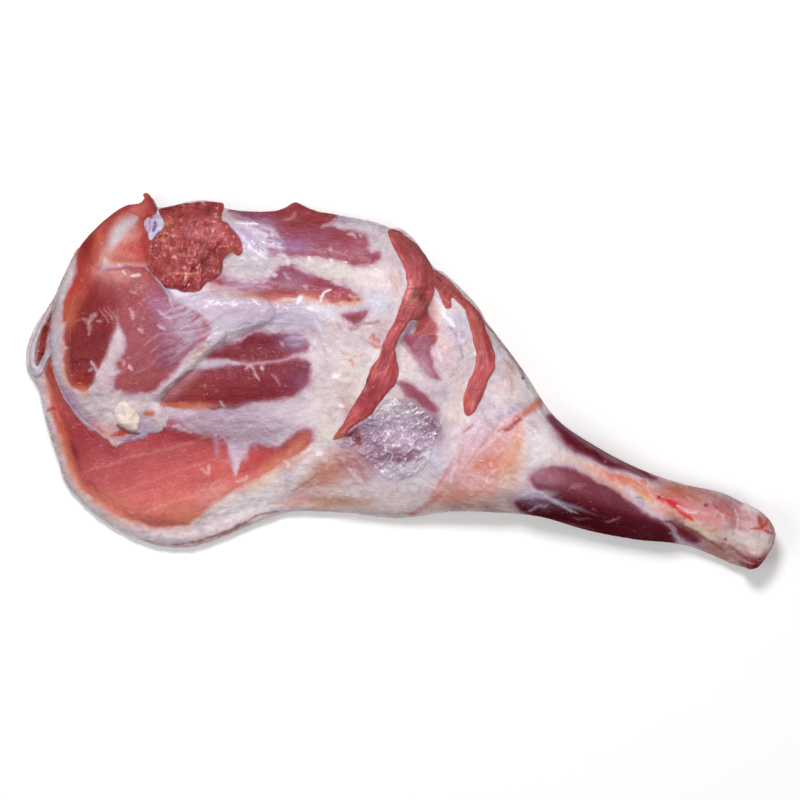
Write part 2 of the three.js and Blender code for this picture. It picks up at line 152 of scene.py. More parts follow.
# Soft stains, in the muscles and in the fat: x, y, half length, half width, turn in degrees,
# colour, strength. A later one lies over the earlier ones.
LEAN_STAINS = [
    (-202, -34, 26, 15, 60, (144, 40, 46), 0.85), (-172, -46, 26, 12, 18, (176, 80, 86), 0.7),
    # (-186, -41) is painted shadow on the flat sheet below the edge of the blade muscle
    (-186, -41, 14, 4, -32, (146, 52, 60), 0.8), (-137, 0, 14, 4, 32, (200, 156, 162), 0.7),
    (-180, 66, 12, 7, -10, (206, 136, 132), 0.6), (-203, 48, 13, 3.5, 62, (192, 112, 86), 0.7),
    (-68, 63, 10, 5, -15, (164, 122, 152), 0.7), (-151, 34, 7, 6, 0, (120, 60, 86), 0.6),
    (112, -84, 26, 6, -21, (84, 0, 26), 0.85), (174, -92, 12, 5, -25, (110, 16, 32), 0.9),
    (-150, -62, 44, 12, 14, (196, 92, 94), 0.8), (-142, -78, 44, 12, 8, (206, 112, 104), 0.9),
    (-180, -78, 18, 7, -35, (208, 124, 104), 0.7), (-106, -62, 14, 14, 40, (206, 108, 98), 0.7),
    (-128, -86, 22, 5, -8, (214, 138, 112), 0.8), (-85, -48, 18, 6, 30, (178, 68, 68), 0.7),
    (-74, -48, 24, 4, 38, (206, 132, 104), 0.8), (-215, -28, 3.5, 34, 10, (196, 96, 74), 0.7),
    (-208, -58, 4, 16, 28, (208, 130, 108), 0.8), (-150, -36, 26, 6, 8, (170, 60, 70), 0.6),
    (-196, 80, 6, 12, 10, (146, 40, 38), 0.8), (-192, 96, 10, 6, 45, (182, 84, 78), 0.5),
    (-208, 44, 4, 14, 14, (196, 104, 72), 0.8), (-197, 60, 16, 5, 45, (178, 64, 54), 0.8),
    (-172, 104, 14, 4, 30, (196, 104, 98), 0.6), (-188, 84, 3, 12, 10, (200, 110, 84), 0.6),
    (-172, 78, 10, 4, 0, (206, 128, 116), 0.7), (-162, 86, 5, 12, 0, (184, 72, 66), 0.6),
    (-177, 90, 14, 6, 56, (206, 158, 152), 0.8), (-176.5, 92, 11, 4.2, 56, (198, 198, 206), 0.95),
    (-170, 99, 6, 3, 45, (200, 196, 204), 0.7), (-190, 76, 3, 12, 0, (196, 108, 78), 0.7),
    (-185, 75, 4, 6, 0, (212, 178, 168), 0.8), (-174, 82, 8, 4, 50, (196, 106, 96), 0.4),
    (-201, 0, 7, 6, 0, (160, 52, 44), 0.8), (-199, -5, 6, 2.2, 0, (196, 112, 84), 0.8),
    (-184, 58, 8, 12, 50, (146, 56, 60), 0.8), (-176, 60, 14, 12, 0, (152, 64, 68), 0.8),
    (-196, 26, 10, 18, 80, (118, 34, 40), 0.7), (-196, 48, 12, 6, 30, (140, 48, 52), 0.6),
    (-178, 46, 3, 12, 0, (134, 46, 52), 0.6), (-135, 36, 8, 22, 12, (158, 120, 146), 0.8),
    (-150, 30, 7, 24, 14, (150, 84, 106), 0.7), (-146, 14, 7, 10, 0, (140, 76, 102), 0.8),
    (-150, 46, 5, 10, 20, (156, 100, 138), 0.8), (-168, 62, 16, 8, 0, (162, 82, 82), 0.6),
    (-162, 0, 16, 8, 10, (168, 86, 88), 0.6), (-150, 0, 10, 3, 45, (178, 76, 70), 0.6),
    (-160, 20, 8, 20, 10, (158, 82, 90), 0.5), (-68, 84, 14, 5, 0, (142, 90, 134), 0.8),
    (-76, 84, 5, 6, 0, (150, 120, 160), 0.7), (-90, 96, 10, 7, 0, (176, 150, 178), 0.85),
    (-98, 104, 10, 4, -10, (146, 96, 136), 0.8), (-88, 104, 14, 3, 0, (150, 70, 96), 0.7),
    (-36, 90, 9, 5, -15, (154, 60, 72), 0.7), (-30, 76, 10, 3, 0, (156, 62, 76), 0.7),
    (-24, 84, 5, 6, 0, (178, 110, 128), 0.5), (-40, 98, 6, 4, 0, (176, 112, 132), 0.6),
    (-104, 61, 10, 4, 0, (156, 96, 128), 0.7), (-70, 64, 8, 5, 0, (154, 90, 114), 0.7),
    (-96, 58, 12, 4, 0, (176, 138, 168), 0.85), (-90, 56, 14, 3, 0, (158, 70, 78), 0.6),
    (-48, 57, 12, 6, -8, (150, 56, 70), 0.7), (-36, 53, 8, 4, -20, (172, 66, 70), 0.7),
    (-76, 54, 26, 2, 0, (172, 72, 74), 0.5), (-100, 53.5, 14, 1.6, -6, (200, 128, 104), 0.7),
    (-136, -6, 18, 9, 0, (146, 62, 60), 0.7), (-100, 0, 20, 8, 0, (134, 48, 58), 0.5),
    (-66, 0, 10, 10, 0, (124, 54, 78), 0.7), (-62, 10, 8, 4, 0, (122, 56, 82), 0.6),
    (-60, -2, 5, 5, 0, (146, 94, 124), 0.6), (-84, 22, 16, 5, 5, (118, 38, 52), 0.6),
    (-66, 26, 10, 7, -10, (146, 108, 146), 0.8), (-84, 30, 14, 3, 0, (148, 84, 92), 0.6),
    (-132, -15, 24, 2.0, 0, (188, 106, 84), 0.8), (-96, -15, 14, 1.8, 0, (104, 60, 84), 0.6),
    (0, -5, 4, 3, -40, (170, 120, 140), 0.5), (92, -60, 14, 5, -6, (176, 122, 142), 0.85),
    (112, -64, 20, 6, -22, (136, 66, 82), 0.7), (134, -74, 16, 5, -30, (116, 56, 76), 0.6),
    (124, -92, 40, 9, -14, (82, 8, 20), 0.95), (108, -86, 20, 5, -14, (84, 14, 26), 0.8),
    (150, -95, 16, 6, -14, (98, 24, 40), 0.7), (154, -84, 8, 4, -30, (112, 42, 62), 0.6),
    (84, -76, 10, 3.5, -16, (112, 84, 118), 0.8), (98, -75, 18, 1.2, -21, (170, 158, 188), 0.6),
    (84, -71, 10, 2.4, 6, (206, 196, 212), 0.8), (110, -33, 18, 2.2, -32, (152, 112, 136), 0.8),
    (134, -49, 20, 2, -28, (164, 130, 142), 0.6), (122, -47, 24, 2.2, -24, (104, 26, 40), 0.7),
    (16, 7, 4, 9, 35, (206, 176, 188), 0.5), (-75, -42, 9, 4, 35, (156, 72, 76), 0.6),
    (-190, 79, 5, 9, -30, (170, 70, 66), 0.6), (-118, -72, 12, 6, 30, (220, 156, 150), 0.6),
    (-168, 92, 6, 5, 30, (214, 150, 142), 0.6), (-180, 67, 12, 5, -10, (214, 150, 146), 0.6),
    (-143, -7, 9, 4, 30, (176, 120, 128), 0.6),
]
FAT_STAINS = [
    (-214.5, 24, 5, 30, 0, (178, 166, 182), 0.9), (-210, 58, 4.5, 18, 20, (192, 178, 182), 0.9),
    (-204, 78, 4, 10, 25, (196, 182, 180), 0.8), (-216.5, 34, 2.4, 18, 6, (190, 182, 196), 0.7),
    (-196, -12, 9, 8, 0, (188, 176, 178), 0.6), (-206, -12, 5, 14, 32, (152, 116, 150), 0.9),
    (-194, -26, 11, 4, -50, (156, 118, 152), 0.9), (-184, -31, 11, 4, -30, (188, 132, 124), 0.8),
    (-177, -34, 6, 3.4, 15, (164, 66, 50), 0.95), (-220, 46, 3, 9, 22, (176, 138, 134), 0.7),
    (-160, -25, 6, 5, 30, (158, 132, 172), 0.85), (-180, -39, 4, 3, 0, (190, 150, 150), 0.8),
    (-168, -37, 8, 2, 5, (156, 116, 150), 0.9), (-188, -12, 14, 10, 0, (190, 178, 184), 0.6),
    (-164, -33, 10, 4, 18, (168, 144, 178), 0.8), (-157, -26, 6, 4, 30, (196, 180, 192), 0.6),
    (-150, -22, 6, 9, 0, (200, 190, 184), 0.6), (-182, 14, 5, 20, -16, (204, 184, 188), 0.8),
    (-186, 0, 6, 6, 0, (204, 180, 186), 0.7), (-180, -4, 6, 6, 0, (206, 172, 176), 0.6),
    (-189, 66, 8, 3, 45, (206, 130, 116), 0.5), (-184, 70, 8, 3, 30, (208, 174, 170), 0.8),
    (-168, 73, 14, 2.2, 0, (190, 116, 114), 0.8), (-126, 18, 6, 2.4, 30, (214, 158, 138), 0.85),
    (-142, 4, 12, 3, 42, (212, 192, 186), 0.6), (-134, -24, 14, 7, 0, (188, 172, 176), 0.7),
    (-112, -24, 14, 6, 0, (186, 164, 176), 0.7), (-120, 30, 5, 3, 0, (206, 200, 212), 0.8),
    (-106, 104, 5, 6, 0, (204, 186, 176), 0.8), (-90, 91, 14, 8, -20, (194, 176, 208), 0.9),
    (-98, 85, 8, 6, -30, (172, 152, 196), 0.8), (-102, 72, 12, 8, 0, (206, 198, 200), 0.9),
    (-90, 68, 10, 7, -40, (204, 192, 202), 0.8), (-70, 75, 16, 4, -5, (208, 198, 194), 0.8),
    # (-132, 54) and (-124, 52) are painted highlights, glints on the silver skin
    (-40, 68, 26, 6, -12, (218, 208, 200), 0.8), (-132, 54, 14, 5, -4, (244, 240, 250), 0.97),
    (-124, 52, 9, 6, 0, (224, 214, 222), 0.8), (-126, 44, 12, 7, 0, (222, 214, 228), 0.8),
    (-118, 44, 12, 8, 0, (196, 178, 190), 0.7), (-96, 46, 18, 8, 0, (184, 168, 180), 0.9),
    (-78, 40, 16, 8, 0, (178, 164, 180), 0.9), (-92, 36, 20, 4, 6, (170, 154, 170), 0.8),
    (-108, 38, 9, 4, 0, (206, 194, 214), 0.8), (-60, 44, 12, 7, 0, (200, 192, 206), 0.8),
    (-44, 44, 14, 5, 0, (206, 202, 212), 0.8), (-54, 33, 8, 7, 20, (190, 174, 194), 0.8),
    (-30, 45, 12, 3.5, 8, (200, 192, 200), 0.9), (-14, 48, 10, 10, 0, (204, 198, 214), 0.8),
    (-4, 62, 5, 12, 0, (214, 190, 194), 0.8), (-34, 101, 10, 2.5, -10, (178, 160, 184), 0.8),
    (-20, 66, 16, 8, 0, (224, 208, 208), 0.7), (-32, 32, 10, 3, 0, (196, 160, 164), 0.6),
    (-38, 29, 16, 9, 0, (196, 176, 182), 0.8), (-32, -4, 14, 12, 0, (222, 208, 202), 0.8),
    (-34, 8, 8, 6, 0, (222, 206, 200), 0.7), (-46, -30, 7, 9, 0, (216, 206, 196), 0.8),
    (-100, -20, 14, 4, 0, (160, 128, 148), 0.8), (-96, -29, 12, 5, 0, (180, 158, 178), 0.7),
    (-76, -24, 14, 6, 20, (202, 186, 194), 0.7), (-88, -34, 12, 5, 0, (184, 166, 186), 0.7),
    (-102, -44, 4, 12, 0, (196, 170, 186), 0.9), (-117, -42, 3, 8, 0, (190, 134, 150), 0.8),
    (-100, -80, 30, 5, -30, (222, 212, 214), 0.8), (-72, -72, 8, 6, 40, (214, 186, 188), 0.7),
    (-86, -64, 22, 3, 35, (222, 196, 170), 0.7), (-118, -82, 14, 3, 32, (220, 190, 168), 0.6),
    (-140, -103, 20, 2, 0, (178, 158, 160), 0.7), (-66, -78, 5, 3, 0, (200, 150, 150), 0.7),
    (-40, -82, 30, 1.6, 0, (196, 176, 176), 0.8), (-46, -58, 18, 9, 38, (186, 126, 108), 0.97),
    (-30, -51, 14, 9, 10, (172, 114, 112), 0.95), (-56, -66, 13, 5, 30, (188, 120, 104), 0.85),
    (-40, -76, 26, 4, 0, (202, 146, 120), 0.9), (-22, -57, 8, 7, 0, (172, 120, 122), 0.9),
    (-18, -50, 6, 5, 0, (166, 128, 146), 0.7), (-58, -72, 12, 3, 10, (196, 130, 112), 0.8),
    (-22, -78, 10, 3, 0, (204, 158, 134), 0.7), (-40, -66, 8, 2.4, 0, (200, 152, 138), 0.7),
    (-46, -46, 6, 3, 40, (196, 162, 152), 0.7), (-2, 8, 5, 12, -30, (208, 190, 188), 0.8),
    (26, 16, 6, 12, 20, (206, 176, 186), 0.8), (34, 36, 5, 8, -40, (178, 168, 196), 0.8),
    (38, 26, 3.5, 9, -10, (176, 160, 178), 0.7), (30, 44, 3, 9, 25, (216, 208, 222), 0.8),
    (20, 42, 2.2, 9, 8, (208, 142, 122), 0.8), (24, 30, 3, 8, 8, (216, 180, 172), 0.7),
    (40, 36, 3, 8, 0, (212, 204, 218), 0.7), (36, -16, 4, 12, -10, (214, 188, 180), 0.7),
    (6, 34, 2.5, 4, -40, (168, 146, 164), 0.8), (0, -10, 9, 4, -20, (204, 184, 178), 0.7),
    (-4, -16, 8, 4, 0, (196, 188, 200), 0.7), (-16, -30, 10, 8, 20, (146, 124, 156), 0.9),
    (0, -26, 16, 7, 0, (166, 144, 170), 0.9), (18, -31, 9, 11, 0, (112, 60, 92), 0.97),
    (-20, -35, 9, 9, 0, (128, 92, 120), 0.9), (0, -46, 13, 5, 8, (118, 70, 102), 0.95),
    (4, -14, 9, 4, 0, (150, 120, 140), 0.8), (2, -37, 20, 8, 0, (176, 148, 174), 0.85),
    (2, -48, 12, 5, 10, (128, 80, 112), 0.9), (-14, -44, 9, 9, 0, (146, 108, 136), 0.85),
    (-2, -58, 16, 5, 0, (190, 172, 194), 0.85), (-32, -40, 9, 3, 0, (158, 128, 148), 0.8),
    (22, -52, 8, 12, 20, (204, 198, 216), 0.85), (14, -62, 12, 6, 10, (206, 194, 200), 0.7),
    (0, -74, 20, 6, 0, (206, 192, 194), 0.7), (-6, -84, 20, 1.8, 0, (180, 162, 156), 0.7),
    (24, -70, 5, 9, -30, (206, 150, 146), 0.7), (33, -72, 10, 6, 0, (200, 124, 104), 0.85),
    (42, -62, 14, 10, 0, (208, 140, 138), 0.95), (56, -62, 11, 9, 0, (212, 136, 122), 0.95),
    (53, -51, 10, 6.5, 10, (206, 108, 92), 0.95), (66, -50, 9, 13, -10, (218, 150, 124), 0.95),
    (73, -36, 4, 11, 0, (218, 158, 130), 0.9), (60, -38, 13, 5, 40, (206, 140, 134), 0.85),
    (46, -36, 14, 5, 45, (202, 162, 178), 0.85), (44, -71, 16, 5, 0, (206, 138, 120), 0.8),
    (38, -48, 8, 4, 55, (208, 150, 154), 0.7), (70, -24, 9, 3, 30, (212, 148, 150), 0.8),
    (66, -20, 10, 2.4, 26, (164, 132, 168), 0.8), (44, -78, 22, 3, 0, (176, 116, 94), 0.8),
    (66, -66, 5, 8, 0, (216, 190, 172), 0.8), (76, -80, 7, 3, -20, (150, 128, 132), 0.8),
    (60, -82, 12, 1.8, 0, (156, 116, 104), 0.6), (62, -8, 12, 10, 0, (216, 204, 204), 0.7),
    (68, 6, 5, 12, -30, (206, 186, 180), 0.7), (61, 16, 3.5, 12, -20, (208, 200, 212), 0.7),
    (52, -16, 3, 9, -30, (186, 166, 190), 0.6), (58, 24, 4, 8, -40, (210, 196, 190), 0.6),
    (86, -42, 8, 14, -22, (222, 214, 216), 0.8), (98, -44, 9, 5, -30, (220, 208, 204), 0.6),
    (120, -56, 18, 4, -24, (222, 182, 158), 0.85), (138, -62, 16, 4.5, -22, (214, 116, 92), 0.9),
    (155, -70, 12, 4.5, -25, (218, 136, 100), 0.85), (158, -79, 9, 5, -30, (214, 196, 194), 0.8),
    (150, -76, 6, 2, -30, (176, 160, 182), 0.7), (166, -65, 20, 2.6, -20, (202, 160, 154), 0.8),
    (176, -71, 17, 5, -16, (190, 98, 76), 0.9), (174, -79, 16, 5, -24, (206, 66, 66), 0.85),
    (168, -84, 12, 3, -24, (212, 140, 120), 0.8), (190, -84, 13, 5, -26, (208, 122, 122), 0.9),
    (186, -90, 18, 2.4, -28, (222, 190, 162), 0.8), (203, -78, 12, 6, -25, (160, 82, 86), 0.9),
    (212, -86, 11, 7, -40, (184, 112, 118), 0.9), (198, -92, 9, 4, -26, (208, 142, 136), 0.7),
    (188, -103, 18, 3, -22, (170, 152, 168), 0.8), (200, -105, 14, 6, -24, (160, 108, 98), 0.9),
    (172, -104, 12, 1.8, -14, (196, 172, 172), 0.8), (213, -99, 12, 5, -25, (210, 190, 182), 0.8),
    (227, -99, 6, 8, 0, (196, 172, 170), 0.8), (186, -69, 16, 2, -15, (182, 116, 100), 0.8),
    (219, -89, 7, 5, -30, (188, 136, 136), 0.85), (220, -113.5, 9.5, 5, -10, (132, 28, 36), 0.97),
    (229, -111, 4, 5, 30, (168, 74, 70), 0.85), (228, -88, 6, 4, -40, (186, 96, 88), 0.7),
    (204, -112, 12, 3, -24, (178, 128, 122), 0.8), (-222, 0, 3, 30, 5, (216, 206, 208), 0.5),
    (-216, -46, 2.5, 20, 15, (196, 176, 184), 0.6), (-66, 38, 12, 6, 0, (150, 132, 160), 0.6),
    (-93, 56, 8, 4, 0, (156, 112, 138), 0.6), (-112, -24, 34, 6, -2, (150, 110, 134), 0.55),
    # (-98, -77) and (0, -79) are painted light: the lower rim made paler where its slopes face away from
    # the front lamp
    (-170, -12, 24, 5, 4, (236, 220, 218), 0.5), (-98, -77, 34, 6, 17, (240, 230, 236), 0.6),
    (0, -79, 26, 4, 0, (236, 214, 216), 0.6), (-60, -71, 12, 3, 0, (230, 196, 198), 0.5),
    (50, -62, 16, 6, -12, (230, 190, 192), 0.5), (-67, 46, 10, 4, 0, (170, 152, 172), 0.5),
    (-12, 31, 6, 6, 0, (180, 132, 140), 0.5), (-31, -13, 5, 8, 35, (176, 116, 122), 0.4),
    (208, -90, 9, 6, 0, (168, 108, 112), 0.4), (-134, 28, 10, 6, 30, (146, 108, 134), 0.6),
    (70, -74, 12, 4, -12, (140, 104, 108), 0.5), (-168, -36, 6, 2.4, 15, (136, 74, 94), 0.5),
    (181, -91, 10, 3, -25, (130, 66, 66), 0.5), (-166, 90, 9, 8, 30, (216, 160, 154), 0.5),
    (221, -114.5, 7, 4, -12, (120, 14, 24), 0.97), (-118, -30, 6, 3, 0, (158, 96, 112), 0.55),
    (-105, -27, 8, 2.4, -10, (148, 90, 114), 0.55), (-92, -24, 10, 2, 10, (144, 96, 122), 0.5),
    (-84, -32, 8, 3, 0, (162, 108, 126), 0.5), (-127, -24, 7, 2.6, 0, (160, 96, 110), 0.55),
    (-76, -28, 6, 3, 20, (168, 124, 142), 0.5), (-98, -35, 6, 3, 0, (172, 120, 134), 0.5),
    (-138, -26, 9, 4, 0, (158, 104, 118), 0.5), (-94, -19, 12, 3, 0, (150, 112, 132), 0.4),
    (33, 25, 6, 6, 0, (190, 160, 172), 0.5), (-21, 94, 8, 4, -20, (222, 206, 216), 0.5),
    (175, -88, 8, 2.4, -25, (150, 64, 60), 0.6), (195, -81, 9, 4, -25, (186, 104, 106), 0.5),
    (-181, -28, 8, 3, -35, (170, 128, 128), 0.5), (-220, 22, 3, 20, 0, (142, 104, 112), 0.5),
    (79, -66, 8, 4, 10, (166, 134, 140), 0.5), (65, -32, 10, 6, 30, (206, 152, 156), 0.5),
    (48, -43, 10, 4, 30, (204, 152, 160), 0.4), (-69, -52, 9, 3, 35, (190, 140, 136), 0.5),
    (-161, -21, 5, 4, 0, (174, 142, 152), 0.5), (67, 0, 6, 8, 0, (196, 168, 172), 0.4),
    (-32, -20, 4, 8, 38, (176, 116, 122), 0.5), (-90, 60, 14, 4, -4, (150, 104, 134), 0.5),
]

# Silver skin: outline, how milky it lies over what is under it, and how far in it reaches that.
VEILS = [
    ([(-112, 104), (-96, 101), (-80, 96), (-74, 90), (-74, 80), (-90, 80), (-104, 80)], 0.5, 5),
    ([(-142, 56), (-125, 56), (-100, 52), (-70, 49), (-50, 44), (-56, 30), (-80, 33), (-98, 30),
      (-117, 24), (-128, 26), (-136, 38)], 0.45, 5),
    ([(-150, 54), (-140, 56), (-100, 56), (-100, 20), (-122, 18), (-138, 8), (-147, 8), (-150, 30)],
     0.75, 24),
    ([(72, -74), (86, -68), (100, -74), (114, -82), (96, -80), (80, -78)], 0.1, 5),
    ([(-150, -20), (-118, -20), (-92, -17), (-62, -14), (-60, -22), (-64, -28), (-80, -34), (-96, -42),
      (-112, -40), (-128, -34), (-148, -30)], 0.45, 5),
    ([(-74, 34), (-60, 34), (-55, 26), (-62, 21), (-72, 26)], 0.4, 5),
    ([(-112, 66), (-98, 63), (-80, 62), (-84, 54), (-104, 55)], 0.3, 5),
]

